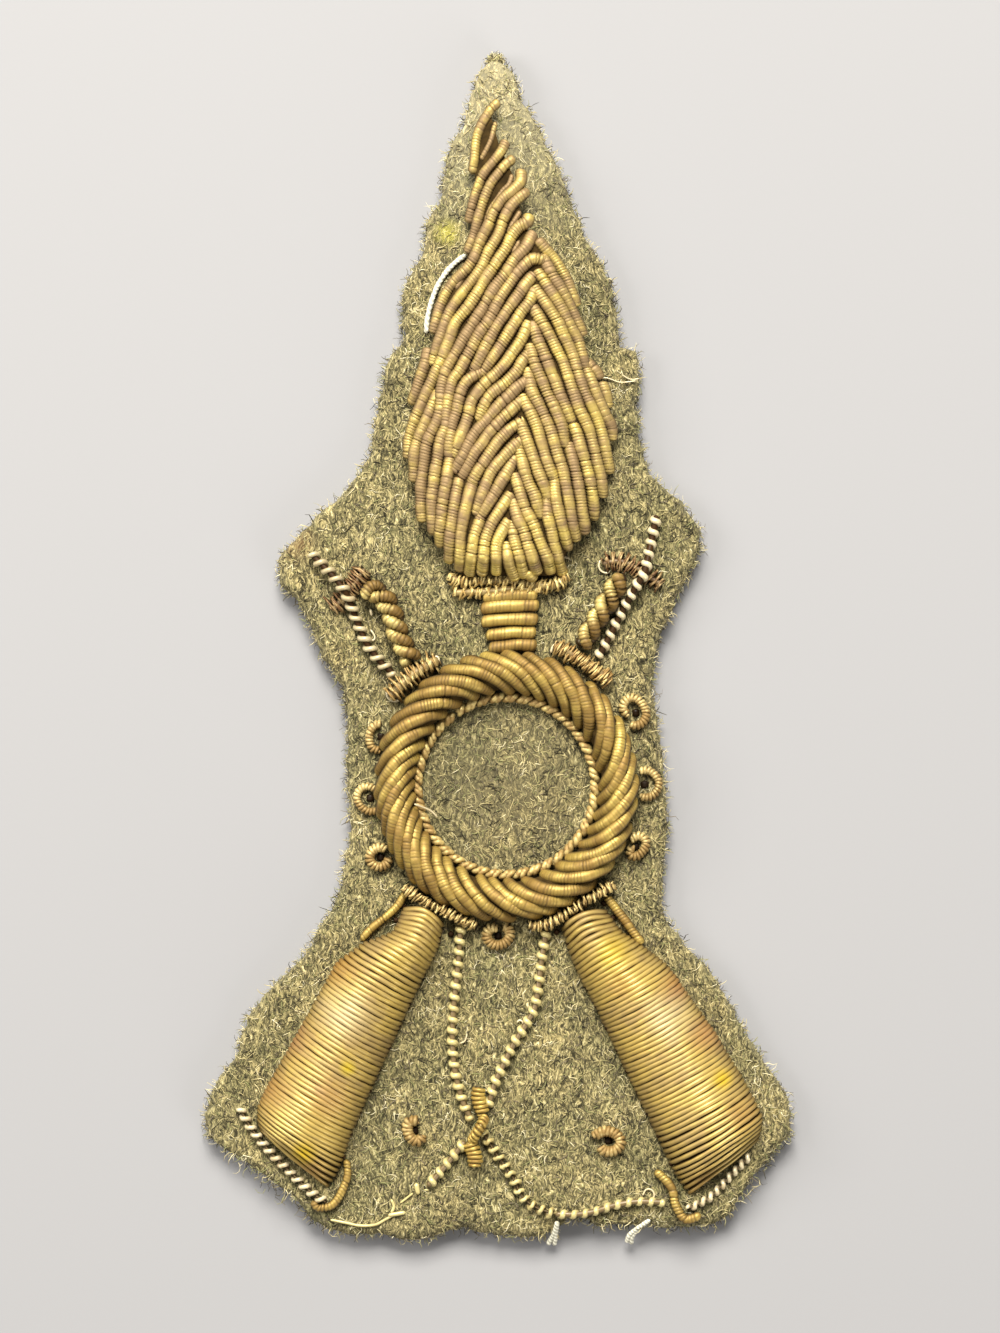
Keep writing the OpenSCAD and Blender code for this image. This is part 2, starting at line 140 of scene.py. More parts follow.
def cut_line(node):
    """The outline of a flat solid as segments: the long edges of its upright faces, seen from above."""
    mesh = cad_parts[node].data
    co = np.empty(len(mesh.vertices) * 3)
    mesh.vertices.foreach_get("co", co)
    co = co.reshape(-1, 3) / MM
    mesh.calc_loop_triangles()
    tri = np.empty(len(mesh.loop_triangles) * 3, int)
    mesh.loop_triangles.foreach_get("vertices", tri)
    tri = co[tri.reshape(-1, 3)]
    normal = np.cross(tri[:, 1] - tri[:, 0], tri[:, 2] - tri[:, 0])
    wall = tri[np.abs(normal[:, 2]) < 0.5 * np.linalg.norm(normal, axis=1)][:, :, :2]
    far = np.stack([wall, np.roll(wall, 1, axis=1)], axis=2)
    long = np.linalg.norm(far[:, :, 0] - far[:, :, 1], axis=2).argmax(axis=1)
    return far[np.arange(len(far)), long]


def crossings(segments, at, along):
    """Lowest and highest place where the outline crosses each line at = constant."""
    a, b = segments[:, 0], segments[:, 1]
    across = 1 - along
    low, high = np.minimum(a[:, across], b[:, across]), np.maximum(a[:, across], b[:, across])
    hit = (at[:, None] >= low) & (at[:, None] <= high) & (high > low)
    share = (at[:, None] - a[:, across]) / np.where(high > low, b[:, across] - a[:, across], 1)
    place = a[:, along] + share * (b[:, along] - a[:, along])
    return np.where(hit, place, 1e9).min(axis=1), np.where(hit, place, -1e9).max(axis=1)


def upper_area(node):
    """Area of the level faces on top of a flat solid, in square metres."""
    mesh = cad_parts[node].data
    mesh.calc_loop_triangles()
    return sum(part.area for part in mesh.loop_triangles if part.normal.z > 0.9)


outline = cut_line("cloth_backing")


def felt_top(x, y):
    """Height of the felt's face: its thickness with two sizes of ripple where it has matted."""
    return FELT_TOP + 0.05 * ripple(x, y, 2.6, 1) + 0.035 * ripple(x, y, 0.8, 2) + 0.02 * ripple(x, y, 0.4, 3)


def cut_wander(rows, fine_lane, coarse_lane, seed):
    """How far a cut edge wanders sideways along the rows: a fine ripple and a coarse one."""
    fine = CUT_FINE * ripple(rows, fine_lane, 0.5, seed)
    return fine + CUT_COARSE * ripple(rows, coarse_lane, 1.5, seed + 1)


def felt_grid():
    """Places on the felt: rows run from the left to the right cut edge, and the lowest rows take the
    foot's line. Edge is how far each place is from the nearest cut."""
    rows = np.linspace(FELT_FOOT, FELT_LAST_ROW, FELT_ROWS)
    left, right = crossings(outline, rows, 0)
    room = np.clip((right - left) / 3, 0, 1)
    left = left + room * cut_wander(rows, 3, 9, 6)
    right = right + room * cut_wander(rows, 5, 7, 8)
    share = np.linspace(0, 1, FELT_COLUMNS)
    x = left[:, None] + (right - left)[:, None] * share
    lowest, highest = outline[..., 0].min() + 0.01, outline[..., 0].max() - 0.01
    foot, _ = crossings(outline, np.clip(x, lowest, highest).ravel(), 1)
    foot = (foot + FOOT_FINE * ripple(x.ravel(), 0, 0.5, 10)).reshape(x.shape)
    near = np.clip(1 - (rows[:, None] - FELT_FOOT) / FELT_FOOT_REACH, 0, 1) ** 2
    y = rows[:, None] + (foot - FELT_FOOT) * near
    edge = np.minimum(np.minimum(x - left[:, None], right[:, None] - x), (FELT_TIP - y) * 0.5)
    edge = np.minimum(edge, np.where(rows[:, None] < -30, y - foot, 9))
    return x, y, edge


def border(rows, columns):
    """Numbers of a grid's outer points, going round counter-clockwise from the first."""
    number = np.arange(rows * columns).reshape(rows, columns)
    return np.concatenate([number[0, :-1], number[:-1, -1], number[-1, :0:-1], number[:0:-1, 0]])


def grid_faces(rows, columns, first=0):
    """Faces of a grid, turned so that they face +Z when columns run to +X and rows to +Y."""
    number = np.arange(rows * columns).reshape(rows, columns) + first
    corners = [number[:-1, :-1], number[:-1, 1:], number[1:, 1:], number[1:, :-1]]
    return np.stack(corners, axis=-1).reshape(-1, 4)


def make_piece(name, points, faces, material, nodes=(), wire=None, sides=0):
    """Wire holds its marks: light, tone and rib. With sides given, the edges round every narrow ring of a
    coil are sharp, so that each turn shines alone."""
    mesh = bpy.data.meshes.new(name)
    mesh.from_pydata((points * MM).tolist(), [], [face for group in faces for face in group.tolist()])
    mesh.shade_smooth()
    if wire is not None:
        marks = mesh.attributes.new("wire", "FLOAT_COLOR", "POINT")
        colours = np.column_stack([wire, np.ones(len(wire))])
        marks.data.foreach_set("color", colours.astype(np.float32).ravel())
    if sides:
        ends_of = np.empty(len(mesh.edges) * 2, np.int32)
        mesh.edges.foreach_get("vertices", ends_of)
        a, b = ends_of.reshape(-1, 2).T
        narrow = (a // sides == b // sides) & (wire[a, 2] < 0.5) & (wire[b, 2] < 0.5)
        mesh.attributes.new("sharp_edge", "BOOLEAN", "EDGE").data.foreach_set("value", narrow)
    mesh.materials.append(material)
    made = bpy.data.objects.new(name, mesh)
    bpy.context.scene.collection.objects.link(made)
    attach(made, "root")
    if nodes:
        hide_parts(*nodes)
    return made


def put(tree, kind, sockets=None, **settings):
    """A node of one kind with its settings, its sockets filled."""
    made = tree.nodes.new(kind)
    for name, value in settings.items():
        setattr(made, name, value)
    fill(tree, made, sockets or {})
    return made


def effect(name, inputs, outputs):
    """An empty shader node group with named sockets; gives its tree, what is fed in, and its end node."""
    tree = bpy.data.node_groups.new(name, "ShaderNodeTree")
    for way, sockets in (("INPUT", inputs), ("OUTPUT", outputs)):
        for label, kind in sockets.items():
            tree.interface.new_socket(label, in_out=way, socket_type="NodeSocket" + kind)
    return tree, tree.nodes.new("NodeGroupInput").outputs, tree.nodes.new("NodeGroupOutput")


def noise(tree, place, scale, detail, rough=0.5):
    """A noise texture of that scale at a place."""
    sockets = {"Vector": place, "Scale": scale, "Detail": detail, "Roughness": rough}
    return put(tree, "ShaderNodeTexNoise", sockets).outputs


def maths(tree, operation, a, b):
    """The result of one sum on two values."""
    return put(tree, "ShaderNodeMath", {0: a, 1: b}, operation=operation).outputs["Value"]


def spread(tree, value, lowest, highest, start, stop, **settings):
    """A value carried from the range lowest to highest over to start to stop, and held beyond both."""
    sockets = {"Value": value, "From Min": lowest, "From Max": highest, "To Min": start, "To Max": stop}
    return put(tree, "ShaderNodeMapRange", sockets, **settings).outputs["Result"]


def speckle_effect():
    """Matted fibre: stretched noises in three directions, bent by a fourth, give flecks and a height."""
    tree, given, end = effect("matted_fibre", {"Vector": "Vector"},
                              {"Fleck": "Float", "Cloud": "Float", "Height": "Float"})
    bend = noise(tree, given["Vector"], 900, 2)["Color"]
    moved = put(tree, "ShaderNodeVectorMath", {0: bend, "Scale": 0.0012}, operation="SCALE")
    bent = {0: given["Vector"], 1: moved.outputs["Vector"]}
    place = put(tree, "ShaderNodeVectorMath", bent, operation="ADD")
    strands = []
    for turn, scale in ((0.4, 5200), (1.9, 6600), (2.7, 8000)):
        stretched = put(tree, "ShaderNodeMapping", {
            "Vector": place.outputs["Vector"], "Rotation": (0, 0, turn), "Scale": (1, 0.25, 1)})
        strands.append(noise(tree, stretched.outputs["Vector"], scale, 3, 0.6)["Fac"])
    height = maths(tree, "MAXIMUM", maths(tree, "MAXIMUM", strands[0], strands[1]), strands[2])
    fill(tree, end, {"Fleck": spread(tree, height, 0.46, 0.78, 0.0, 1.0),
                     "Cloud": noise(tree, given["Vector"], 260, 5, 0.65)["Fac"], "Height": height})
    return tree


matted_fibre = speckle_effect()


def ramp(tree, value, stops):
    """A colour ramp through (place, colour) stops, read at a value."""
    made = put(tree, "ShaderNodeValToRGB", {"Fac": value})
    bar = made.color_ramp
    while len(bar.elements) < len(stops):
        bar.elements.new(0.5)
    for stop, (place, colour) in zip(bar.elements, stops):
        stop.position = place
        stop.color = (*colour, 1)
    return made.outputs["Color"]


def mix(tree, factor, a, b, kind="MIX"):
    """A mix of the colours a and b; its third, seventh and eighth sockets are the ones for colours."""
    return put(tree, "ShaderNodeMix", {0: factor, 6: a, 7: b}, data_type="RGBA", blend_type=kind).outputs[2]


def spotted_stains_and_light(tree, place, colour, stain_and_light_spots):
    """A colour with round spots mixed in, real stain spots and spots of painted light: each fades from its
    centre to its radius, seen from above.
    """
    flat = put(tree, "ShaderNodeVectorMath", {0: place, 1: (1, 1, 0)}, operation="MULTIPLY")
    for (x, y), radius, tint, most in stain_and_light_spots:
        centre = {0: flat.outputs["Vector"], 1: (x * MM, y * MM, 0)}
        away = put(tree, "ShaderNodeVectorMath", centre, operation="DISTANCE").outputs["Value"]
        spot = spread(tree, away, 0.0, radius * MM, most, 0.0, interpolation_type="SMOOTHSTEP")
        colour = mix(tree, spot, colour, tint)
    return colour


def felt_material():
    """Olive khaki wool: flecks of straw and dark fibre over slow clouds, darkest in the low places between
    the fibres, partly a painted shade; a tip made paler, a painted light; two stain spots; and the felt
    darker inside the ring.
    """
    made, tree, shader = new_material("olive_felt")
    place = put(tree, "ShaderNodeTexCoord").outputs["Object"]
    fibre = put(tree, "ShaderNodeGroup", {"Vector": place}, node_tree=matted_fibre).outputs
    # Painted shade in part: the flecks run from near black where the fibre pattern lies low to straw where it
    # stands highest.
    flecks = ramp(tree, fibre["Fleck"], [
        (0.0, (0.025, 0.022, 0.01)), (0.3, (0.15, 0.13, 0.06)), (0.6, (0.44, 0.37, 0.18)),
        (1.0, (0.9, 0.82, 0.5))])
    clouds = ramp(tree, fibre["Cloud"], [
        (0.3, (0.62, 0.66, 0.6)), (0.55, (1.0, 0.98, 0.92)), (0.75, (1.2, 1.14, 1.0))])
    # Spots: the first is a painted light that makes the tip paler, the next two are stain spots, and the last
    # makes the felt darker inside the ring.
    colour = spotted_stains_and_light(tree, place, mix(tree, 1.0, flecks, clouds, "MULTIPLY"), [
        ((0.0, 40.0), 17.0, (0.5, 0.45, 0.29), 0.4), ((-3.4, 28.2), 1.3, (0.55, 0.5, 0.05), 0.5),
        ((-13.5, 7.2), 1.8, (0.25, 0.15, 0.06), 0.45), ((0.6, -9.2), 9.0, (0.1, 0.085, 0.045), 0.6)])
    bump = put(tree, "ShaderNodeBump", {"Strength": 1.0, "Distance": 0.0003, "Height": fibre["Height"]})
    fill(tree, shader, {
        "Base Color": colour, "Normal": bump.outputs["Normal"], "Roughness": 0.95, "Specular IOR Level": 0.2,
        "Sheen Weight": 0.25, "Sheen Roughness": 0.5, "Sheen Tint": (0.85, 0.8, 0.55)})
    return made


olive_felt = felt_material()
felt_x, felt_y, felt_edge = felt_grid()
fall = FELT_ROUND_DEEP * np.clip(1 - felt_edge / FELT_ROUND, 0, 1) ** 2
face = np.stack([felt_x, felt_y, felt_top(felt_x, felt_y) - fall], axis=-1).reshape(-1, 3)
back = face * (1, 1, 0)
rim = border(FELT_ROWS, FELT_COLUMNS)
heading = np.roll(face[rim], -1, axis=0) - np.roll(face[rim], 1, axis=0)
outward = np.stack([heading[:, 1], -heading[:, 0]], axis=1)
outward /= np.maximum(np.linalg.norm(outward, axis=1), 1e-6)[:, None]
walls = []
for share in EDGE_LEVELS:
    bulge = EDGE_BULGE + EDGE_RAGGED * ripple(face[rim, 0] + 90 * share, face[rim, 1], 0.5, 4)
    ring = face[rim] * (1, 1, share)
    ring[:, :2] += outward * bulge[:, None]
    walls.append(ring)
size = len(face)
loops = [rim] + [2 * size + len(rim) * i + np.arange(len(rim)) for i in range(len(walls))] + [rim + size]
faces = [grid_faces(FELT_ROWS, FELT_COLUMNS), grid_faces(FELT_ROWS, FELT_COLUMNS, size)[:, ::-1]]
faces += [np.stack([a, b, np.roll(b, -1), np.roll(a, -1)], axis=1) for a, b in zip(loops[:-1], loops[1:])]
points = np.vstack([face, back, *walls])
felt = make_piece("felt_backing", points, faces, olive_felt, ["cloth_backing"])
upper_area("cloth_backing")

# Wool nap: single crimped hairs, straw, olive and near black, lie all over the felt's face and stand
# out of its cut edge. They are what is left of the fleece after felting, and nothing fixes them.
NAP_HAIRS, EDGE_HAIRS = 9400, 6500
HAIR_POINTS, HAIR_SIDES, HAIR_RADIUS = 4, 3, 0.03


def tube_faces(count, rows, sides):
    """Faces of many tubes whose points follow each other: quads between rings, and a cap at both ends."""
    number = np.arange(count * rows * sides).reshape(count, rows, sides)
    turned = np.roll(number, -1, axis=2)
    walls = np.stack([number[:, :-1], turned[:, :-1], turned[:, 1:], number[:, 1:]], axis=-1)
    return [walls.reshape(-1, 4), np.vstack([number[:, 0, ::-1], number[:, -1]])]


def hair_fan(starts, headings, lengths, rise, seed):
    """Bent hairs as three-sided tubes: each walks from its start with a heading that turns as it goes,
    and its height follows rise times sin(pi share), so both ends meet the cloth."""
    rng = np.random.default_rng(seed)
    count = len(starts)
    share = np.linspace(0, 1, HAIR_POINTS)
    bend = rng.uniform(-2.2, 2.2, (count, 1)) * share + rng.uniform(0.2, 0.9, (count, 1)) * np.sin(
        TURN * (share * rng.uniform(0.5, 1.3, (count, 1)) + rng.uniform(0, 1, (count, 1))))
    angle = headings[:, None] + bend
    step = lengths[:, None] / (HAIR_POINTS - 1)
    x = starts[:, :1] + np.cumsum(np.cos(angle) * step, axis=1)
    y = starts[:, 1:2] + np.cumsum(np.sin(angle) * step, axis=1)
    z = starts[:, 2:3] + rise[:, None] * np.sin(np.pi * share) + 0.01
    middle = np.stack([x, y, z], axis=-1)[:, :, None]
    side = np.stack([-np.sin(angle), np.cos(angle), np.zeros_like(angle)], axis=-1)[:, :, None]
    thick = HAIR_RADIUS * rng.uniform(0.6, 1.25, (count, 1)) * (1 - 0.6 * share**3)
    turn = np.pi / 2 + TURN * np.arange(HAIR_SIDES) / HAIR_SIDES
    out = side * (thick[..., None] * np.cos(turn))[..., None]
    points = middle + out + (0, 0, 1) * (thick[..., None] * np.sin(turn))[..., None]
    tint = np.repeat(rng.uniform(0, 1, (count, 3)), HAIR_POINTS * HAIR_SIDES, axis=0)
    return points.reshape(-1, 3), tube_faces(count, HAIR_POINTS, HAIR_SIDES), tint


def wire_marks(tree):
    """The marks that a mesh carries in its attribute wire, as separate red, green and blue."""
    marks = put(tree, "ShaderNodeAttribute", attribute_name="wire").outputs["Color"]
    return put(tree, "ShaderNodeSeparateColor", {"Color": marks}).outputs


def hair_material():
    """Wool hair: each takes its own place on a ramp from near black through olive to straw."""
    made, tree, shader = new_material("wool_hair")
    shades = ramp(tree, wire_marks(tree)["Red"], [
        (0.0, (0.015, 0.012, 0.006)), (0.16, (0.08, 0.07, 0.035)), (0.3, (0.2, 0.16, 0.11)),
        (0.45, (0.27, 0.28, 0.11)), (0.65, (0.5, 0.42, 0.2)), (0.85, (0.66, 0.57, 0.3)),
        (1.0, (0.82, 0.75, 0.5))])
    fill(tree, shader, {"Base Color": shades, "Roughness": 0.75, "Specular IOR Level": 0.3})
    return made


wool_hair = hair_material()


def nap(name, seed):
    """A share of the hairs on the felt's face, at random places between its left and right edges. They are
    paler towards the tip, a painted light, and darker from there down to the crossing."""
    rng = np.random.default_rng(seed)
    y = rng.uniform(-39.0, 39.4, 3 * NAP_HAIRS)
    left, right = crossings(outline, y, 0)
    keep = rng.uniform(0, 40, len(y)) < right - left
    y, left, right = y[keep][:NAP_HAIRS], left[keep][:NAP_HAIRS], right[keep][:NAP_HAIRS]
    x = left + (right - left) * rng.uniform(0.01, 0.99, len(y))
    low, _ = crossings(outline, x, 1)
    y = np.maximum(y, low + 0.2)
    starts = np.column_stack([x, y, felt_top(x, y) - 0.02])
    lengths, headings = rng.uniform(0.3, 1.05, len(y)), rng.uniform(0, TURN, len(y))
    points, faces, tint = hair_fan(starts, headings, lengths, rng.uniform(0.0, 0.09, len(y)), seed + 1)
    x, y = points[:, 0], points[:, 1]
    patch = 0.28 * ripple(x, y, 0.7, 12) + 0.15 * ripple(x, y, 2.0, 13)
    # Painted light: hairs near the tip are given paler tints.
    painted_tip_light, middle = np.clip((y - 26) / 12, 0, 1), np.clip((y + 22) / 6, 0, 1) * np.clip((20 - y) / 8, 0, 1)
    tint[:, 0] = np.clip(tint[:, 0] + patch + 0.2 * painted_tip_light - 0.13 * middle, 0, 1)
    make_piece(name, points, faces, wool_hair, wire=tint)


nap("felt_nap_a", 11)
nap("felt_nap_b", 21)


def edge_fuzz(name, seed):
    """Hairs that start on the cut edge at random heights and point outwards within a wide fan."""
    rng = np.random.default_rng(seed)
    spot = rng.integers(0, len(rim), EDGE_HAIRS)
    out = np.arctan2(outward[spot, 1], outward[spot, 0])
    starts = face[rim][spot] * (1, 1, 0)
    starts[:, :2] -= outward[spot] * 0.12
    starts[:, 2] = FELT_TOP * rng.uniform(0.15, 0.9, EDGE_HAIRS)
    lengths = 0.12 + rng.uniform(0.25, 0.8, EDGE_HAIRS) ** 2.6
    headings, rise = out + rng.normal(0, 0.9, EDGE_HAIRS), rng.uniform(-0.1, 0.1, EDGE_HAIRS)
    points, faces, tint = hair_fan(starts, headings, lengths, rise, seed + 1)
    points[:, 2] = np.maximum(points[:, 2], 0.02)
    make_piece(name, points, faces, wool_hair, wire=tint)


edge_fuzz("felt_edge_fuzz", 31)

# Flame: forty-nine lengths of smooth purl, a fine gilt wire coiled like a spring, cut and sewn down
# over a domed padding from the spine out to both sides, so that their ends meet in a herringbone. Five
# thinner ones have sunk between them near the tip.
FLAME_HIGH, FLAME_FOOT = 2.9, 5.0
PURL_WIDE, PURL_PITCH, PURL_SIDES, PURL_WOBBLE = 0.92, 0.2, 10, 0.08
TUCK, TUCK_SUNK, OPEN_END_SUNK = 0.32, 0.3, 0.12
SUNK_WIDE = 0.42

# Rows of the flame: y, then x of the left edge, the spine and the right edge
flame_rows = np.array([
    [5.0, -2.9, 0.6, 4.7], [6.5, -3.9, 0.6, 5.2], [8.5, -5.3, 0.7, 6.7], [11.0, -6.0, 1.0, 7.8],
    [13.5, -6.4, 1.4, 8.1], [16.0, -6.0, 1.6, 8.0], [18.0, -5.6, 1.9, 7.6], [20.0, -5.1, 2.1, 6.5],
    [22.0, -4.7, 2.2, 6.1], [24.0, -4.0, 2.5, 5.5], [26.0, -2.8, 2.6, 4.6], [28.0, -2.1, 2.4, 3.0],
    [30.0, -2.2, 2.0, 2.6], [32.0, -2.1, 1.3, 2.2], [34.0, -2.0, 0.6, 1.3], [37.0, -1.3, 0.0, 0.5]])

# Purls left of the spine, each from its spine end outwards: x, y
left_purls = [
    [(0.65, 8.5), (0.2, 7.8), (-0.1, 7.0), (-0.1, 6.0), (-0.1, 5.1)],
    [(0.8, 10.3), (0.2, 9.4), (-0.4, 8.5), (-0.8, 7.4), (-0.9, 6.2), (-1.1, 5.1)],
    [(1.1, 12.8), (0.5, 11.7), (-0.1, 10.7), (-0.7, 9.7), (-1.15, 8.85)],
    [(-1.2, 8.6), (-1.55, 7.6), (-1.7, 6.4), (-1.9, 5.1)],
    [(1.45, 14.0), (0.8, 13.4), (0.2, 12.7), (-0.4, 11.9), (-0.8, 11.0), (-1.1, 10.2), (-1.35, 9.3)],
    [(1.55, 15.3), (0.9, 14.9), (0.3, 14.3), (-0.3, 13.5), (-1.3, 12.0), (-1.6, 11.3)],
    [(-1.7, 11.05), (-2.0, 10.0), (-2.3, 8.8), (-2.45, 7.6), (-2.55, 5.4)],
    [(1.55, 16.7), (1.0, 16.15), (0.4, 15.6), (-0.1, 15.1), (-0.65, 14.45), (-1.1, 13.8), (-1.65, 13.0),
     (-2.3, 11.8)],
    [(-2.6, 11.3), (-2.85, 10.0), (-3.0, 9.0), (-3.15, 8.0), (-3.25, 7.0), (-3.25, 6.0)],
    [(1.9, 18.0), (1.35, 17.6), (0.75, 17.0), (0.15, 16.45), (-0.35, 15.85), (-0.8, 15.35), (-1.25, 14.9),
     (-1.75, 14.2), (-2.1, 13.5), (-2.45, 12.8), (-2.75, 12.2)],
    [(2.05, 19.8), (1.6, 19.25), (1.25, 18.7), (0.6, 18.0), (0.0, 17.5), (-0.5, 17.05), (-0.9, 16.4),
     (-1.15, 15.6)],
    [(2.0, 21.8), (1.7, 21.0), (1.05, 20.0), (0.5, 19.15), (-0.1, 18.55), (-0.75, 17.95), (-1.35, 17.25),
     (-1.75, 16.6), (-1.9, 15.9), (-2.2, 15.0), (-2.5, 14.2), (-2.8, 13.2)],
    [(2.4, 24.0), (2.1, 23.3), (1.6, 22.6), (1.1, 21.8), (0.1, 20.2), (-0.4, 19.5), (-0.9, 18.7)],
    [(-1.3, 18.55), (-1.9, 18.2), (-2.35, 17.6), (-2.6, 16.8), (-2.8, 15.9), (-3.05, 15.0), (-3.2, 14.0),
     (-3.2, 13.2)],
    [(-3.2, 12.7), (-3.4, 11.3), (-3.6, 10.3), (-3.85, 8.2), (-3.85, 7.0)],
    [(2.3, 25.0), (1.85, 24.45), (1.4, 23.8), (0.75, 22.95), (0.2, 22.1), (-0.35, 21.2), (-0.8, 20.3),
     (-1.2, 19.5), (-1.5, 18.9)],
    [(3.0, 26.15), (2.4, 26.25), (1.9, 25.95), (1.3, 25.3), (0.85, 24.6), (0.2, 23.6), (-0.6, 22.1),
     (-1.2, 21.3), (-1.9, 20.0), (-2.6, 18.7), (-3.0, 18.1), (-3.25, 17.0), (-3.4, 15.9), (-3.5, 15.0),
     (-3.8, 14.0), (-4.2, 12.0), (-4.35, 10.5), (-4.4, 9.0), (-4.3, 7.8)],
    [(2.3, 27.8), (1.85, 27.0), (1.2, 26.3), (0.75, 25.5), (0.1, 24.7), (-0.55, 23.7), (-1.5, 22.1),
     (-2.5, 20.5), (-3.3, 19.1), (-3.7, 18.0), (-3.8, 16.9), (-4.0, 15.6), (-4.65, 14.1), (-4.9, 13.0),
     (-5.1, 11.4), (-5.15, 10.0), (-5.0, 8.6)],
    [(2.15, 29.3), (2.0, 28.75), (1.4, 28.4), (0.95, 27.8), (0.5, 26.9), (-0.1, 26.0), (-0.9, 24.8),
     (-1.8, 23.3), (-2.8, 22.0), (-3.4, 20.5), (-3.9, 19.2), (-4.4, 18.2), (-4.85, 17.2), (-5.3, 16.1),
     (-5.7, 15.1), (-6.0, 14.1), (-6.05, 12.9)],
    [(-4.1, 17.2), (-4.5, 16.2), (-5.0, 15.0), (-5.4, 14.0), (-5.6, 12.8), (-5.65, 11.3)],
    [(2.0, 30.8), (1.45, 30.4), (0.9, 29.8), (0.45, 28.9), (0.1, 27.9), (-0.6, 26.7), (-1.3, 25.3),
     (-2.3, 24.1), (-2.95, 23.2), (-3.6, 21.8), (-4.0, 20.6), (-4.3, 19.4)],
    [(1.55, 32.3), (1.55, 31.5), (1.05, 30.85), (0.3, 30.25), (-0.2, 29.5), (-0.6, 28.5), (-1.15, 27.4),
     (-1.6, 26.3), (-2.1, 25.6), (-2.8, 24.9), (-3.4, 24.1), (-3.85, 23.1), (-4.2, 22.0), (-4.35, 21.3)],
    [(-4.65, 20.4), (-4.85, 19.3), (-5.2, 18.3), (-5.5, 17.4), (-5.8, 16.6)],
    [(1.1, 33.1), (0.6, 32.7), (0.1, 32.1), (-0.45, 31.4), (-0.85, 30.5), (-1.2, 29.5), (-1.5, 28.2),
     (-1.8, 27.4), (-2.05, 26.7)],
    [(0.6, 34.3), (0.3, 33.6), (-0.2, 32.95), (-0.75, 32.25), (-1.2, 31.5), (-1.55, 30.6), (-1.75, 29.8),
     (-1.9, 28.8)],
    [(0.1, 37.0), (-0.5, 36.4), (-1.0, 35.6), (-1.35, 34.7), (-1.5, 33.7), (-1.6, 32.9), (-1.7, 32.1)]]

# Thin lengths that have sunk between the others near the tip
sunk_purls = [
    [(-0.1, 35.6), (-0.3, 35.0), (-0.45, 34.4), (-0.7, 33.8), (-1.1, 33.0)],
    [(1.0, 32.0), (0.75, 31.3), (0.35, 30.9), (-0.05, 30.3), (-0.45, 29.7), (-0.8, 28.8)],
    [(1.55, 29.5), (1.2, 28.9), (0.9, 28.4), (0.7, 27.9)],
    [(1.5, 27.5), (1.2, 27.0), (1.0, 26.6)],
    [(-1.9, 25.7), (-2.4, 25.0), (-2.8, 24.3)]]

# Purls right of the spine, in the same way
right_purls = [
    [(0.6, 7.0), (0.7, 6.2), (0.9, 5.5), (1.2, 4.8)],
    [(0.9, 8.4), (1.1, 7.4), (1.4, 6.4), (1.8, 4.95)],
    [(1.1, 9.9), (1.35, 8.9), (1.8, 7.8), (2.2, 6.6), (2.7, 5.2)],
    [(1.2, 11.6), (1.5, 10.6), (1.9, 9.4), (2.5, 8.2), (2.9, 7.2), (3.3, 6.2), (3.6, 5.2)],
    [(1.95, 5.4), (2.15, 5.1), (2.5, 4.8)],
    [(1.45, 13.6), (1.7, 12.4), (2.1, 11.2), (2.6, 10.0), (2.85, 9.1)],
    [(3.3, 9.95), (3.35, 9.0), (3.6, 8.0), (3.85, 7.0), (4.05, 6.2), (4.4, 5.1)],
    [(1.55, 15.2), (1.9, 14.2), (2.4, 13.0), (2.7, 12.0), (3.05, 11.1), (3.3, 10.4)],
    [(3.8, 11.3), (3.9, 10.3), (4.1, 9.2), (4.4, 8.2), (4.7, 7.1)],
    [(1.75, 16.9), (2.1, 16.1), (2.6, 15.1), (2.9, 14.0), (3.2, 13.1), (3.5, 12.2), (3.75, 11.6)],
    [(2.05, 18.7), (2.3, 17.4), (2.8, 16.4), (3.3, 15.4), (3.65, 14.4), (4.0, 13.3), (4.4, 12.1),
     (4.6, 10.9), (4.85, 9.6), (5.05, 8.4), (5.3, 7.4)],
    [(2.2, 20.3), (2.5, 19.2), (3.0, 18.0), (3.5, 16.9), (4.0, 15.8), (4.35, 14.8), (4.5, 13.9)],
    [(4.85, 13.7), (5.1, 12.6), (5.35, 11.4), (5.55, 10.2), (5.75, 9.0), (5.85, 7.9)],
    [(2.35, 21.8), (2.8, 20.6), (3.4, 19.2), (3.9, 17.9), (4.4, 16.7), (4.9, 15.5)],
    [(5.15, 15.0), (5.5, 13.9), (5.9, 12.6), (6.2, 11.4), (6.4, 10.2), (6.5, 8.8)],
    [(2.45, 22.9), (3.1, 21.8), (3.7, 20.7), (4.3, 19.5), (4.7, 18.4), (5.1, 17.2), (5.6, 16.0),
     (6.1, 14.9), (6.45, 13.7), (6.75, 12.5), (7.0, 11.3), (7.05, 10.3)],
    [(2.6, 24.2), (3.3, 23.2), (4.0, 22.1), (4.6, 20.8), (5.1, 19.6), (5.5, 18.3), (6.0, 17.0), (6.6, 15.8),
     (7.0, 14.6), (7.3, 13.2), (7.55, 11.9)],
    [(2.75, 25.3), (3.5, 24.2), (4.2, 23.1), (4.8, 22.0), (5.3, 21.0), (5.65, 20.0), (5.85, 19.2)],
    [(3.1, 26.3), (3.6, 25.3), (4.2, 24.3), (4.8, 23.3), (5.3, 22.3), (5.75, 21.1)],
    [(2.6, 27.6), (3.2, 27.0), (3.9, 26.2), (4.5, 25.2), (5.0, 24.1), (5.35, 23.1)],
    [(6.1, 19.3), (6.6, 18.8), (6.9, 18.2)],
    [(7.0, 18.1), (7.25, 17.3), (7.5, 16.3)],
    [(6.05, 18.7), (6.4, 17.8), (6.8, 16.8), (7.2, 15.9), (7.6, 15.1), (7.75, 14.1)]]


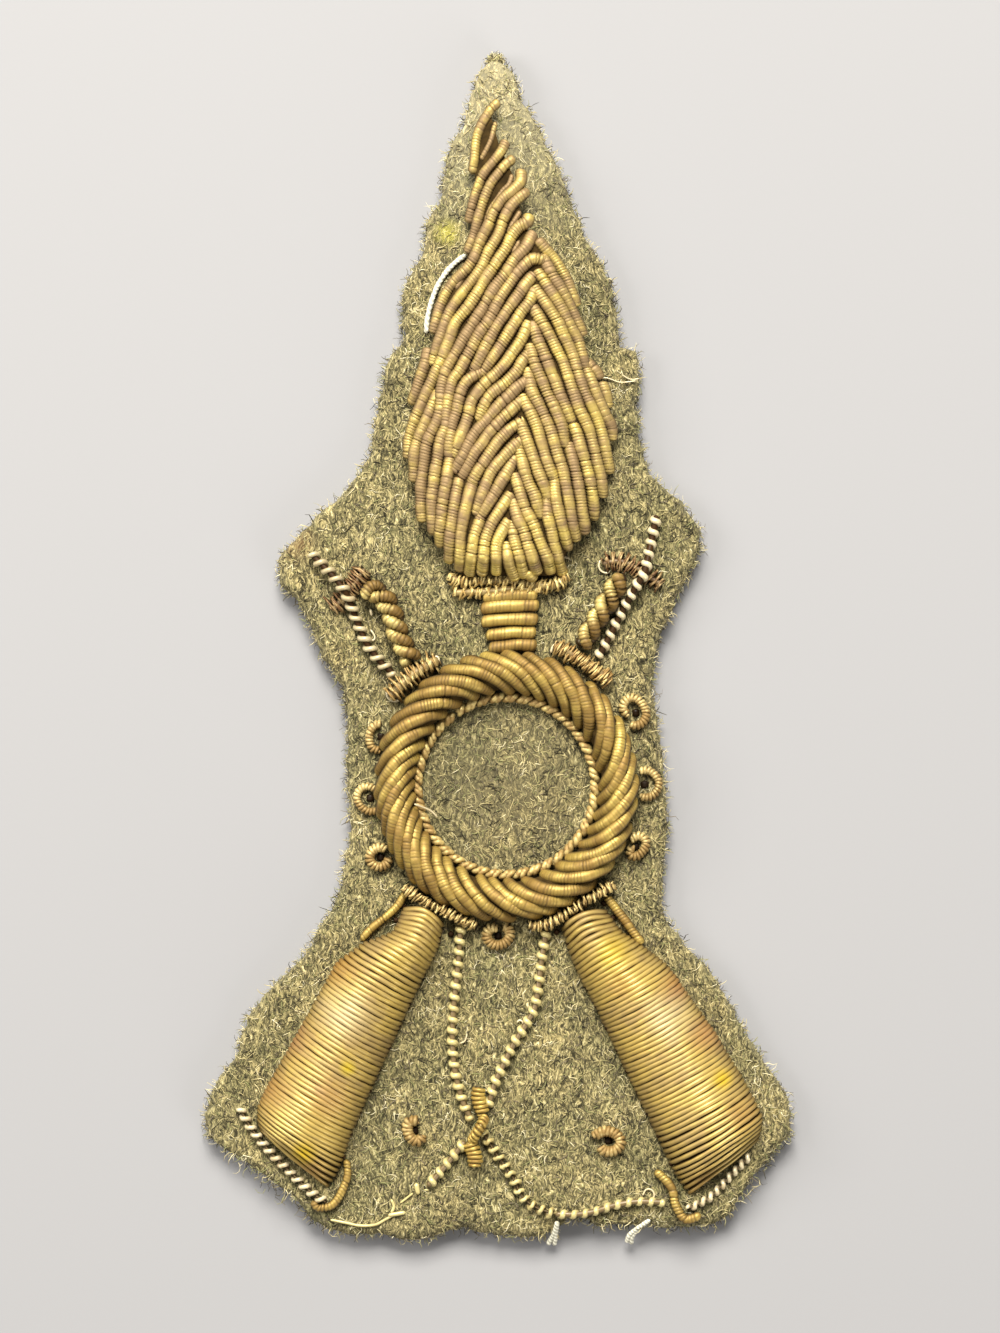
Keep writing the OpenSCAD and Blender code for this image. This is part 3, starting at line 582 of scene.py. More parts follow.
def dome(x, y):
    """Height of the padded flame above the felt: a half-round across each row from its spine out to its
    edge, lower at the tip."""
    left, spine, right = (np.interp(y, flame_rows[:, 0], flame_rows[:, c]) for c in (1, 2, 3))
    out = np.where(x < spine, (spine - x) / (spine - left), (x - spine) / (right - spine))
    foot = 0.55 + 0.45 * np.clip((y - 4.6) / 1.6, 0, 1)
    tip = 1 - 0.5 * np.clip((y - 22) / 14.6, 0, 1) ** 2
    return FLAME_HIGH * foot * tip * (0.14 + 0.86 * (1 - np.clip(out, 0, 1) ** 2) ** 0.45)


def smooth_route(route, step, lift=None):
    """Points along a Catmull-Rom curve through the route, at equal steps of length, and how far along each
    is. A lift adds the height of what the route lies on."""
    keys = np.array([(*p, 0.0)[:3] for p in route], float)
    padded = np.vstack([2 * keys[0] - keys[1], keys, 2 * keys[-1] - keys[-2]])
    f = np.linspace(0, 1, 16, endpoint=False)[None, :, None]
    a, b, c, d = (padded[i:len(keys) - 1 + i][:, None] for i in range(4))
    bend, twist = 2 * a - 5 * b + 4 * c - d, 3 * b - a - 3 * c + d
    fine = 0.5 * (2 * b + (c - a) * f + bend * f**2 + twist * f**3)
    fine = np.vstack([fine.reshape(-1, 3), keys[-1:]])
    if lift is not None:
        fine[:, 2] += lift(fine[:, 0], fine[:, 1])
    far = np.concatenate([[0], np.cumsum(np.linalg.norm(np.diff(fine, axis=0), axis=1))])
    place = np.linspace(0, far[-1], max(3, int(round(far[-1] / step)) + 1))
    return np.column_stack([np.interp(place, far, fine[:, i]) for i in range(3)]), place


def frames(path):
    """Directions at each point of a path: along it, level to its left, and up, square to each other."""
    along = np.gradient(path, axis=0)
    along /= np.maximum(np.linalg.norm(along, axis=1), 1e-9)[:, None]
    left = np.cross([0, 0, 1], along)
    left /= np.maximum(np.linalg.norm(left, axis=1), 1e-9)[:, None]
    return along, left, np.cross(along, left)


def join(skins):
    """Many closed tubes, each a grid of points and a grid of marks, as one mesh."""
    points, faces, marks, first = [], [], [], 0
    for skin, mark in skins:
        faces += [group + first for group in tube_faces(1, *skin.shape[:2])]
        points.append(skin.reshape(-1, 3))
        marks.append(mark.reshape(-1, 3))
        first += len(points[-1])
    return np.vstack(points), faces, np.vstack(marks)


def sew(name, skins, material, nodes=(), sides=0, lift_tone=0.0, share=1.0):
    """A piece made of closed tubes. Its tone mark becomes lift_tone + share * tone, held within 0 to 1."""
    points, faces, marks = join(skins)
    marks[:, 1] = np.clip(lift_tone + share * marks[:, 1], 0, 1)
    make_piece(name, points, faces, material, nodes, marks, sides)


def ends(place, reach, least=0.25):
    """Thickness along a tube as a share: a quarter circle over the reach at each end."""
    near = np.clip(np.minimum(place, place[-1] - place) / reach, 0, 1)
    return least + (1 - least) * np.sqrt(1 - (1 - near) ** 2)


def round_tube(middle, size, turn, side, upward):
    """Rings round a path: middle + size (cos turn side + sin turn upward)."""
    rings = np.cos(turn)[None, :, None] * side[:, None] + np.sin(turn)[None, :, None] * upward[:, None]
    return middle[:, None] + size[:, None, None] * rings


def slow_noise(rng, place, step):
    """Random values a step apart along a length, joined by straight lines."""
    knots = rng.uniform(0, 1, 3 + int(place[-1] / step))
    return np.interp(place + rng.uniform(0, step), np.arange(len(knots)) * step, knots)


def purl(route, wide, seed, pitch=PURL_PITCH, lift=None, rib=0.16, sides=PURL_SIDES, reach=0.3, plain=0.45):
    """A length of purl: rings at half the coil's pitch are wide and narrow by turns, more or less deep at
    random, and lean like the coil by a quarter pitch times cos(angle). Plain is how much of it looks smooth.
    Marks: light, 0 at the sides to 1 on top; tone, slow along the length; rib, near 1 on a crest and less
    in a deeper valley."""
    rng = np.random.default_rng(seed)
    path, place = smooth_route(route, pitch / 2, lift)
    along, left, up = frames(path)
    turn = TURN * (np.arange(sides) + 0.5) / sides
    odd = np.arange(len(path)) % 2
    valley = odd * rng.uniform(0.2, 1, len(path))
    valley = valley * np.clip(1.5 - 2.2 * plain * slow_noise(rng, place, 1.0), 0.15, 1)
    valley = np.maximum(valley, odd * np.where(rng.uniform(0, 1, len(path)) < 0.05, 1.5, 0))
    size = (1 - rib * valley) * ends(place, reach) * (0.9 + 0.16 * slow_noise(rng, place, 0.9))
    path = path + left * (PURL_WOBBLE * (slow_noise(rng, place, 0.8) - 0.5) * ends(place, 0.8, 0))[:, None]
    across = np.cos(turn)[None, :, None] * left[:, None] * (wide / 2)
    upward = np.sin(turn)[None, :, None] * up[:, None] * (wide / 2)
    lean = np.cos(turn)[None, :, None] * along[:, None] * (pitch / 4)
    lean = lean * ends(place, reach, 0)[:, None, None]
    skin = path[:, None] + (across + upward) * size[:, None, None] + lean
    shade = 0.35 + 0.65 * ends(place, 0.4, 0)
    light = np.clip((np.sin(turn) - 0.25) / 0.75, 0, 1)[None] * shade[:, None]
    tone = 0.4 * rng.uniform(0, 1) + 0.4 * slow_noise(rng, place, 0.7) + 0.2 * slow_noise(rng, place, 0.17)
    crest = np.where(valley > 0, 1 - np.clip(valley, 0, 1) ** 0.5, rng.uniform(0.6, 1, len(path)))
    marks = [light] + [np.repeat(value[:, None], sides, axis=1) for value in (tone, crest)]
    return skin, np.stack(marks, axis=-1)


def tarnish_effect():
    """Old gilding: noise in patches turns bright gilt to dull gold. Where a wire faces sideways or down (its
    Light mark is low) and in the valleys of the coil (its Rib mark is low), a darker colour is mixed in: a
    painted shade, with some grime in the hollows. Dull patches are rougher, and what is so darkened is less
    metallic."""
    tree, given, end = effect("gilt_tarnish", {
        "Vector": "Vector", "Bright": "Color", "Dull": "Color", "Grime And Shade": "Color", "Light": "Float",
        "Tone": "Float", "Rib": "Float", "Wear": "Float", "Size": "Float", "Metal": "Float"},
        {"Color": "Color", "Roughness": "Float", "Metallic": "Float"})
    patches = noise(tree, given["Vector"], given["Size"], 4, 0.6)["Fac"]
    kept = maths(tree, "ADD", patches, maths(tree, "MULTIPLY", given["Tone"], 0.45))
    dull = spread(tree, maths(tree, "SUBTRACT", kept, given["Wear"]), 0.0, 0.4, 1.0, 0.0)
    # Painted shade, with some grime: darker where the wire faces sideways or down, and in the coil's valleys.
    low = spread(tree, given["Light"], 0.0, 0.7, 1.0, 0.0)
    grime_and_shade_mask = maths(tree, "MAXIMUM", low, spread(tree, given["Rib"], 0.0, 0.7, 0.6, 0.0))
    gold = mix(tree, dull, given["Bright"], given["Dull"])
    shine = spread(tree, grime_and_shade_mask, 0.0, 1.0, 1.0, 0.4)
    fill(tree, end, {"Color": mix(tree, grime_and_shade_mask, gold, given["Grime And Shade"]),
                     "Roughness": spread(tree, dull, 0.0, 1.0, 0.38, 0.6),
                     "Metallic": maths(tree, "MULTIPLY", shine, given["Metal"])})
    return tree


gilt_tarnish = tarnish_effect()


def wire_material(name, bright, dull, grime_and_shade, wear, size, metal, stain_and_light_spots=(), specular=0.5):
    """A gilt wire finish: the shared tarnish with this wire's own colours, read from its three marks."""
    made, tree, shader = new_material(name)
    place = put(tree, "ShaderNodeTexCoord").outputs["Object"]
    marks = wire_marks(tree)
    old = put(tree, "ShaderNodeGroup", node_tree=gilt_tarnish)
    # The third colour is the painted shade, with some grime, of the wire's hollows and lower sides.
    fill(tree, old, {
        "Vector": place, "Bright": bright, "Dull": dull, "Grime And Shade": grime_and_shade, "Wear": wear, "Size": size,
        "Metal": metal, "Light": marks["Red"], "Tone": marks["Green"], "Rib": marks["Blue"]})
    fill(tree, shader, {
        "Base Color": spotted_stains_and_light(tree, place, old.outputs["Color"], stain_and_light_spots), "Specular IOR Level": specular,
        "Roughness": old.outputs["Roughness"], "Metallic": old.outputs["Metallic"]})
    return made


# Each finish: bright gilt, dull gold, the colour of its painted shade with grime, then wear, patch size and
# metal.
gilt_purl = wire_material("gilt_purl", (0.6, 0.455, 0.115), (0.27, 0.178, 0.08), (0.09, 0.055, 0.018),
                          0.62, 900.0, 0.45)


def padding_material(name, colour):
    """Waxed padding seen between the wires: one dark ochre with clouds of grime, made darker than the padding
    is so that the gaps look shadowed, a painted shade.
    """
    made, tree, shader = new_material(name)
    clouds = noise(tree, put(tree, "ShaderNodeTexCoord").outputs["Object"], 1500, 4)["Fac"]
    shades = ramp(tree, clouds, [(0.35, tuple(0.45 * c for c in colour)), (0.65, colour)])
    fill(tree, shader, {"Base Color": shades, "Roughness": 0.9, "Specular IOR Level": 0.1})
    return made


# Near black: the padding's colour darkened into a painted shade for the gaps between the wires.
shade_dark_padding = padding_material("shade_dark_padding", (0.05, 0.03, 0.008))


PADDING_ROWS, PADDING_COLUMNS, PADDING_INSET, PADDING_SUNK = 90, 30, 0.6, 0.55
PADDING_FOOT = FELT_TOP - 0.05


def mound(x, y, z):
    """A closed heap over a grid of places: its top surface, and a level floor a little inside the felt."""
    rows, columns = x.shape
    top = np.stack([x, y, z], axis=-1).reshape(-1, 3)
    base = top * (1, 1, 0) + (0, 0, PADDING_FOOT)
    edge, below = border(rows, columns), border(rows, columns) + rows * columns
    wall = np.stack([edge, below, np.roll(below, -1), np.roll(edge, -1)], axis=1)
    floor_faces = grid_faces(rows, columns, rows * columns)[:, ::-1]
    return np.vstack([top, base]), [grid_faces(rows, columns), floor_faces, wall]


row_y = np.linspace(FLAME_FOOT, 36.7, PADDING_ROWS)
row_left, row_right = (np.interp(row_y, flame_rows[:, 0], flame_rows[:, c]) for c in (1, 3))
tip_inset = 0.6 * np.clip((row_y - 26) / 4, 0, 1)
row_right = np.maximum(row_right - PADDING_INSET - tip_inset, row_left + 0.9)
row_left = row_left + PADDING_INSET
pad_x = row_left[:, None] + (row_right - row_left)[:, None] * np.linspace(0, 1, PADDING_COLUMNS)
pad_y = np.repeat(row_y[:, None], PADDING_COLUMNS, axis=1)
pad_z = FELT_TOP + np.maximum(dome(pad_x, pad_y) - PADDING_SUNK, 0.1)
points, faces = mound(pad_x, pad_y, pad_z)
make_piece("flame_padding", points, faces, shade_dark_padding)


def on_flame(x, y):
    """Height of a purl's middle as it lies on the flame's dome."""
    return FELT_TOP + dome(x, y) - PURL_WIDE / 2


def tucked(route):
    """A flame purl's route: an end inside the flame is drawn out and sunk under what it meets."""
    keys = [(*p, 0.0) for p in route]
    for end, inner in ((0, 1), (-1, -2)):
        (x0, y0, _), (x1, y1, _) = keys[end], keys[inner]
        left, right = (np.interp(y0, flame_rows[:, 0], flame_rows[:, c]) for c in (1, 3))
        inside = min(x0 - left, right - x0, y0 - FLAME_FOOT) > 0.75
        share = TUCK / np.hypot(x0 - x1, y0 - y1) if inside else 0.0
        sunk = -TUCK_SUNK if inside else -OPEN_END_SUNK
        keys[end] = (x0 + (x0 - x1) * share, y0 + (y0 - y1) * share, sunk)
    return keys


skins = []
for i, route in enumerate(left_purls + right_purls):
    slim = 0.16 * np.clip((np.mean(route, axis=0)[1] - 23) / 7, 0, 1)
    skins.append(purl(tucked(route), PURL_WIDE * (1 - slim), 100 + i, lift=on_flame))
for i, route in enumerate(sunk_purls):
    skin, mark = purl([(*place, -OPEN_END_SUNK) for place in route], SUNK_WIDE, 180 + i, lift=on_flame)
    skins.append((skin, mark * (1, 0.4, 1)))
points, faces, marks = join(skins)
less_worn = 0.3 * np.clip((10 - points[:, 1]) / 4, 0, 1)
marks[:, 1] = np.clip(marks[:, 1] + less_worn, 0, 1)
make_piece("flame_purls", points, faces, gilt_purl, ["flame"], marks, PURL_SIDES)

# Padding thread: a stiff off-white cotton thread that the flame's padding was sewn with. It has come
# away from under the purls at the upper left and lies in a bow along the flame's edge.
STRAND_SIDES = 8
padding_route = [(-2.1, 26.7), (-2.7, 26.3), (-3.4, 25.6), (-4.05, 24.6), (-4.5, 23.4), (-4.75, 22.3),
                 (-4.8, 21.4)]


def cotton_material():
    """Off-white cotton: a fine slanted twist from a wave texture, painted a little grey in its hollows, a
    painted shade.
    """
    made, tree, shader = new_material("cotton_thread")
    wave = {"Vector": put(tree, "ShaderNodeTexCoord").outputs["Object"], "Scale": 1500, "Distortion": 3.0}
    twist = put(tree, "ShaderNodeTexWave", wave, bands_direction="DIAGONAL").outputs["Fac"]
    # Painted shade: the twist's low places are greyer.
    shades = ramp(tree, twist, [(0.0, (0.42, 0.4, 0.3)), (1.0, (0.78, 0.76, 0.62))])
    bump = put(tree, "ShaderNodeBump", {"Strength": 0.5, "Distance": 0.00005, "Height": twist})
    fill(tree, shader, {"Base Color": shades, "Normal": bump.outputs["Normal"], "Roughness": 0.8})
    return made


def strand(route, wide, seed, lift=None, step=0.12, reach=0.12, light=0.75):
    """A plain round thread or wire along a route, rounded at both ends and slightly uneven in thickness."""
    rng = np.random.default_rng(seed)
    path, place = smooth_route(route, step, lift)
    along, left, up = frames(path)
    turn = TURN * np.arange(STRAND_SIDES) / STRAND_SIDES
    size = wide / 2 * ends(place, reach) * (1 + 0.05 * np.sin(place * 5 + rng.uniform(0, 6)))
    skin = round_tube(path, size, turn, left, up)
    shade = np.clip(light * np.clip(1.3 * np.sin(turn), 0, 1), 0, 1)[None] * np.ones((len(path), 1))
    tone = np.full_like(shade, rng.uniform(0.2, 1))
    return skin, np.stack([shade, tone, np.ones_like(shade)], axis=-1)


def on_felt(half):
    """A lift that puts a cord of that half thickness on the felt."""
    return lambda x, y: FELT_TOP + half


cotton_thread = cotton_material()
sew("white_padding_thread", [strand(padding_route, 0.36, 201, on_felt(0.2))], cotton_thread,
    ["padding_thread"])

# Collar: two lengths of rough purl, a coil of crinkled wire that throws many small lights, laid across
# the flame's foot and sewn over at each end. Dark thread and the shade inside the coil show between its
# turns: the core that stands for both is darkened, partly a painted shade.
brown_rough = wire_material("brown_rough_purl", (0.84, 0.68, 0.28), (0.35, 0.225, 0.065),
                            (0.06, 0.034, 0.009), 0.56, 2600.0, 0.3)
upper_collar = [(-3.3, 4.95), (-2.4, 4.65), (-1.0, 4.7), (0.4, 4.75), (1.8, 4.6), (3.0, 4.35), (4.0, 4.45),
                (4.75, 5.05)]
lower_collar = [(-3.0, 3.85), (-1.6, 3.9), (-0.3, 3.95), (0.9, 4.1), (2.0, 4.1), (3.1, 4.1)]


def twisted(route, plies, wire, orbit, lead, seed, lift, samples=14, sides=7, flat=1.0, crinkle=0.0, core=0.0,
            lean=0.0):
    """A twisted cord: each ply is a left-hand helix, path + orbit (cos a left - sin a up), where a grows by a
    whole turn in each lead. Flat squeezes its height, crinkle moves each point at random, a core fills the
    middle, and lean times cos a, along the cord, sets the upper half of each turn more square to it."""
    rng = np.random.default_rng(seed)
    path, place = smooth_route(route, lead / samples, lift)
    along, left, up = frames(path)
    turn = TURN * np.arange(sides) / sides
    skins = []
    for ply in range(plies):
        angle = TURN * (place / lead + ply / plies) + rng.uniform(0, 6)
        radial = np.cos(angle)[:, None] * left - np.sin(angle)[:, None] * up
        far = orbit * ends(place, 0.3, 0.5) * (1 + crinkle * rng.normal(0, 1, len(path)))
        middle = path + radial * (1, 1, flat) * far[:, None]
        middle += along * (0.4 * crinkle * lead * rng.normal(0, 1, len(path)) - lean * np.cos(angle))[:, None]
        heading = np.gradient(middle, axis=0)
        heading /= np.linalg.norm(heading, axis=1)[:, None]
        other = np.cross(heading, radial)
        other /= np.linalg.norm(other, axis=1)[:, None]
        out = np.cross(other, heading)
        size = wire * ends(place, 0.15) * (1 + 0.06 * np.sin(place * 1.9 + ply))
        skin = round_tube(middle, size, turn, out, other)
        facing = (skin[..., 2] - path[:, None, 2]) / (wire + orbit * flat)
        light = np.clip(0.3 + 0.3 * np.cos(turn)[None] + 0.7 * facing, 0, 1)
        tone = rng.uniform(0, 1, len(path)) if crinkle else 0.3 + 0.6 * slow_noise(rng, place, 1.2)
        tone = np.repeat(tone[:, None], sides, axis=1)
        skins.append((skin, np.stack([light, tone, np.ones_like(light)], axis=-1)))
    if core:
        # Painted shade: the core's light mark is low, so it takes the darker colour, for the shadow inside
        # the cord.
        skins.append(strand(route, 2 * core, seed, lift, light=0.3))
    return skins


def rough_purl(route, wide, high, seed, lift, lead=0.56, wire=0.075):
    """Crinkled purl: three fine wires wound together in an angular helix, eight corners to a turn, with each
    corner moved at random."""
    flat = (high / 2 - wire) / (wide / 2 - wire)
    return twisted(route, 3, wire, wide / 2 - wire, lead, seed, lift, 8, 5, flat, 0.3, min(wide, high) * 0.34)


sew("collar_upper", rough_purl(upper_collar, 0.95, 1.0, 211, on_felt(0.55)), brown_rough,
    ["flame_collar_upper"])
sew("collar_lower", rough_purl(lower_collar, 0.85, 0.85, 212, on_felt(0.47)), brown_rough,
    ["flame_collar_lower"])

# Neck: five smooth purls laid level, one above the other, between the ring and the collar. Each is
# one cut length, held by a thread drawn through its coil, and the uppermost is half under the collar.
ring_purl = wire_material("ring_purl", (0.55, 0.4, 0.096), (0.25, 0.152, 0.034), (0.035, 0.019, 0.005),
                          0.61, 700.0, 0.45)
NECK_WIDE, NECK_PITCH, NECK_SIDES = 0.94, 0.24, 12

# Purls of the neck: y, then x of the left and the right end
neck_rows = [(0.2, -0.6, 2.65), (1.05, -0.8, 2.6), (1.95, -1.1, 2.75), (2.87, -1.15, 2.8), (3.6, -1.0, 2.7)]
skins = []
for i, (y, start, end) in enumerate(neck_rows):
    bow = [(start, y - 0.06, -OPEN_END_SUNK), (start + 0.7, y), ((start + end) / 2, y + 0.1),
           (end - 0.7, y + 0.13), (end, y + 0.1, -OPEN_END_SUNK)]
    skins.append(purl(bow, NECK_WIDE, 220 + i, NECK_PITCH, on_felt(0.46), rib=0.07, sides=NECK_SIDES))
sew("neck_purls", skins, ring_purl, ["grenade_neck"], NECK_SIDES)

# Grenade ring: thirty-seven smooth purls laid side by side over a round of padding, closer at the lower
# left. Each starts on the outer edge and turns about a twelfth of a circle as it runs inwards.
RING_X, RING_Y, RING_RX, RING_RY, RING_IN = 0.6, -9.18, 8.85, 9.1, 6.2
RING_HIGH, RING_STRANDS, RING_TURN, RING_START, RING_WIDE = 2.5, 37, 29.0, 4, 0.9

# How many purls lie before each sixth of the circle, and a purl's height at each share of its way inwards
ring_crowding = np.array([0, 6.2, 12.4, 17.8, 25.1, 31.0, 37.0])
ring_shares = np.array([0, 0.05, 0.12, 0.22, 0.35, 0.5, 0.65, 0.8, 0.92, 1.0])
ring_levels = np.array([0.14, 0.5, 0.74, 0.91, 1.0, 0.99, 0.92, 0.76, 0.5, 0.22])


def ring_place(angle, share):
    """A place on the ring: share 0 on its outer ellipse and 1 on its inner circle, at an angle in degrees."""
    rx, ry = RING_RX + (RING_IN - RING_RX) * share, RING_RY + (RING_IN - RING_RY) * share
    return RING_X + rx * np.cos(np.radians(angle)), RING_Y + ry * np.sin(np.radians(angle))


rng = np.random.default_rng(23)
skins = []
for i in range(RING_STRANDS):
    wander = rng.normal(0, 0.8) + np.interp(i, ring_crowding, np.arange(7) * 60.0)
    turned = (RING_TURN + RING_START) * ring_shares**0.8
    x, y = ring_place(wander + RING_START - turned, 0.07 + ring_shares * 0.86)
    z = FELT_TOP + RING_HIGH * ring_levels - 0.4 * ring_levels**0.3
    skins.append(purl(np.column_stack([x, y, z]), RING_WIDE, 300 + i, rib=0.1, reach=0.9))
sew("ring_purls", skins, ring_purl, ["grenade_ring"], PURL_SIDES)

# The ring's padding: share of the way inwards and share of the ring's height, all round its section
section = np.array([(0.1, 0.0), (0.1, 0.5), (0.25, 0.72), (0.5, 0.8), (0.75, 0.7), (0.9, 0.42), (0.9, 0.0)])
x, y = ring_place(np.linspace(0, 360, 121)[:-1, None], section[:, 0])
z = PADDING_FOOT + RING_HIGH * section[:, 1] + 0 * x
number = np.arange(x.size).reshape(x.shape)
ahead, aside = np.roll(number, -1, axis=0), np.roll(number, -1, axis=1)
core_faces = np.stack([number, ahead, np.roll(ahead, -1, axis=1), aside], axis=-1).reshape(-1, 4)
points = np.stack([x, y, z], axis=-1).reshape(-1, 3)
make_piece("ring_padding", points, [core_faces], shade_dark_padding)

# Inner cord: a fine two-ply twist of gilt thread that follows the ring's inner edge and covers the
# ends of its purls; at the upper left it dips under them for a short way.
dull_twist = wire_material("dull_twist", (0.66, 0.52, 0.2), (0.3, 0.19, 0.06), (0.05, 0.028, 0.008),
                           0.6, 1600.0, 0.3)
INNER_CORD_RADIUS, INNER_CORD_STEPS = 5.98, 44
angle = np.radians(np.linspace(126, 484, INNER_CORD_STEPS))
inner_route = np.column_stack([RING_X + INNER_CORD_RADIUS * np.cos(angle),
                               RING_Y + INNER_CORD_RADIUS * np.sin(angle)])
sew("ring_inner_twist", twisted(inner_route, 2, 0.19, 0.17, 0.92, 231, on_felt(0.52), crinkle=0.06, core=0.1),
    dull_twist, ["ring_inner_cord"])

# Loops: seven short lengths of stout purl, each bent into an open ring beside the grenade and sewn at
# its ends, so that the turns of the coil fan out like the petals of a rosette round a dark hole; a dark dot
# in each hole stands in for its shadow, a painted shade. Each loop is painted paler on its upper left side
# and darker on its lower right, painted light and shade.
loop_purl = wire_material("loop_purl", (0.72, 0.57, 0.24), (0.25, 0.155, 0.046), (0.04, 0.021, 0.006),
                          0.63, 900.0, 0.3)
LOOP_LEAD = 0.235

# Each loop's name, its purl's width, and its route: x, y
ring_loops = [
    ("right_upper", 0.5, [(8.85, -4.4), (8.5, -4.05), (8.55, -3.55), (9.0, -3.2), (9.5, -3.35), (9.85, -3.75),
                          (10.05, -4.3), (9.85, -4.85), (9.4, -5.1), (8.95, -5.05)]),
    ("right_middle", 0.44, [(9.6, -8.2), (10.1, -8.1), (10.55, -8.35), (10.9, -8.85), (10.8, -9.45),
                            (10.45, -9.85), (10.0, -9.95), (9.6, -9.9)]),
    ("right_lower", 0.5, [(8.95, -12.85), (9.4, -12.55), (9.85, -12.65), (10.05, -13.1), (9.8, -13.6),
                          (9.35, -13.95), (8.95, -13.85), (9.0, -13.45), (9.25, -13.4)]),
    ("bottom", 0.6, [(0.0, -18.75), (-0.5, -18.8), (-0.75, -19.25), (-0.5, -19.75), (0.05, -19.95),
                     (0.6, -19.7), (0.85, -19.2), (0.7, -18.75), (0.35, -18.65)]),
    ("left_upper", 0.45, [(-7.85, -4.95), (-8.3, -5.1), (-8.6, -5.55), (-8.65, -6.1), (-8.45, -6.65),
                          (-7.9, -6.8)]),
    ("left_middle", 0.42, [(-8.3, -9.35), (-8.85, -9.2), (-9.35, -9.5), (-9.5, -10.05), (-9.2, -10.6),
                           (-8.7, -10.9), (-8.15, -10.85)]),
    ("left_lower", 0.55, [(-7.5, -13.45), (-7.95, -13.3), (-8.45, -13.55), (-8.65, -14.05), (-8.4, -14.5),
                          (-7.9, -14.65), (-7.45, -14.4), (-7.35, -14.0)])]


def open_purl(route, wide, lead, seed, wire=0.13):
    """A stout purl whose single turns show: one wire helix, its turns touching, round a core darkened as a
    painted shade for the inside of the coil.
    """
    orbit = wide / 2 - 0.4 * wire
    return twisted(route, 1, wire, orbit, lead, seed, on_felt(orbit + wire), 12, 6, 1.0, 0.05, orbit * 0.85)


for i, (name, wide, route) in enumerate(ring_loops):
    skins = open_purl(route, wide, LOOP_LEAD, 240 + i)
    skin, mark = skins[0]
    # Painted light and shade: the tone mark rises towards the loop's upper left, towards the lamps, and falls
    # towards its lower right.
    aside = (skin - skin.mean(axis=(0, 1))) @ (-0.5, 0.85, 0.0)
    mark[..., 1] = np.clip(0.25 + 0.45 * aside / aside.max() + 0.5 * mark[..., 1], 0, 1)
    sew("loop_" + name, skins, loop_purl, ["ring_loop_" + name])

# Barrels: each rifle's barrel is one stout silvered wire wound in open turns round a brown thread core,
# coloured near black for the shadow between the turns, a painted shade. It is couched down, and stands clear
# of the felt where the muzzle band passes under it.
pale_coil = wire_material("pale_coil", (0.7, 0.6, 0.38), (0.47, 0.36, 0.19), (0.06, 0.035, 0.014),
                          0.42, 700.0, 0.25)
grey_coil = wire_material("grey_coil", (0.52, 0.44, 0.26), (0.3, 0.22, 0.11), (0.05, 0.026, 0.009),
                          0.46, 700.0, 0.25)
# Near black brown thread: its darkness is partly a painted shade between the turns and in the stitch holes.
shade_brown_thread = wire_material("shade_brown_core", (0.075, 0.034, 0.009), (0.04, 0.018, 0.005), (0.012, 0.006, 0.002),
                           0.6, 900.0, 0.0, specular=0.12)

# Each barrel's route: x, y and how far it stands clear of the felt
left_barrel = [(-12.6, 6.5), (-11.2, 5.1, 0.45), (-10.3, 4.0, 0.6), (-9.9, 3.1, 0.3), (-9.5, 2.0),
               (-8.8, 0.4), (-7.8, -0.9), (-6.95, -1.65)]
right_barrel = [(10.75, 9.1), (10.45, 7.6), (10.2, 6.5, 0.3), (9.9, 5.2, 0.6), (9.3, 4.2, 0.45),
                (8.4, 2.6), (7.5, 0.8), (6.8, -0.5)]


def couched_cord(name, route, node, wire, orbit, lead, seed, material, high, core_material, core, lean=0.0,
                 crinkle=0.0):
    """One open wire helix and the core that it is wound on, as two pieces, so that each keeps its own
    finish. High is how far the cord's middle lies above the felt."""
    coil = twisted(route, 1, wire, orbit, lead, seed, on_felt(high), crinkle=crinkle, lean=lean)
    sew(name, coil, material, [node])
    inside = strand(route, 2 * core, seed + 1, on_felt(high), light=0.4)
    sew(name + "_core", [inside], core_material, [node])


couched_cord("left_barrel", left_barrel, "left_barrel_cord", 0.18, 0.28, 0.767, 251, grey_coil, 0.43,
             shade_brown_thread, 0.2)
couched_cord("right_barrel", right_barrel, "right_barrel_cord", 0.2, 0.22, 0.774, 253, pale_coil, 0.43,
             shade_brown_thread, 0.24, 0.1)

# Muzzle bands: a length of the rough brown purl laid across under each barrel, for the foresight band.
# Its wires are the most tarnished of all, and it is sewn down at both of its ends.
dark_rough = wire_material("dark_rough_purl", (0.5, 0.36, 0.16), (0.13, 0.062, 0.02), (0.02, 0.01, 0.003),
                           0.64, 2600.0, 0.3)
muzzle_bands = [("left", 1.3, [(-11.15, 2.7), (-10.5, 3.45), (-9.7, 4.4), (-8.95, 5.5)]),
                ("right", 1.2, [(7.1, 5.8), (8.2, 6.0), (9.3, 5.6), (10.3, 4.9), (11.1, 4.4)])]
for i, (name, wide, route) in enumerate(muzzle_bands):
    sew(name + "_muzzle_band", rough_purl(route, wide, 0.6, 261 + i, on_felt(0.32), 0.4, 0.07), dark_rough,
        [name + "_barrel_band"])

# Fore-ends: two lengths of smooth purl twisted together into a thick rope, cut to length and sewn down
# beside each barrel. Each rope is painted lighter on its right side and on top, and darker on its other side
# and low down: painted light and shade.
rope_purl = wire_material("rope_purl", (0.72, 0.58, 0.2), (0.2, 0.118, 0.026), (0.025, 0.012, 0.003),
                          0.64, 900.0, 0.38)
ROPE_ORBIT, ROPE_PITCH = 0.42, 0.23

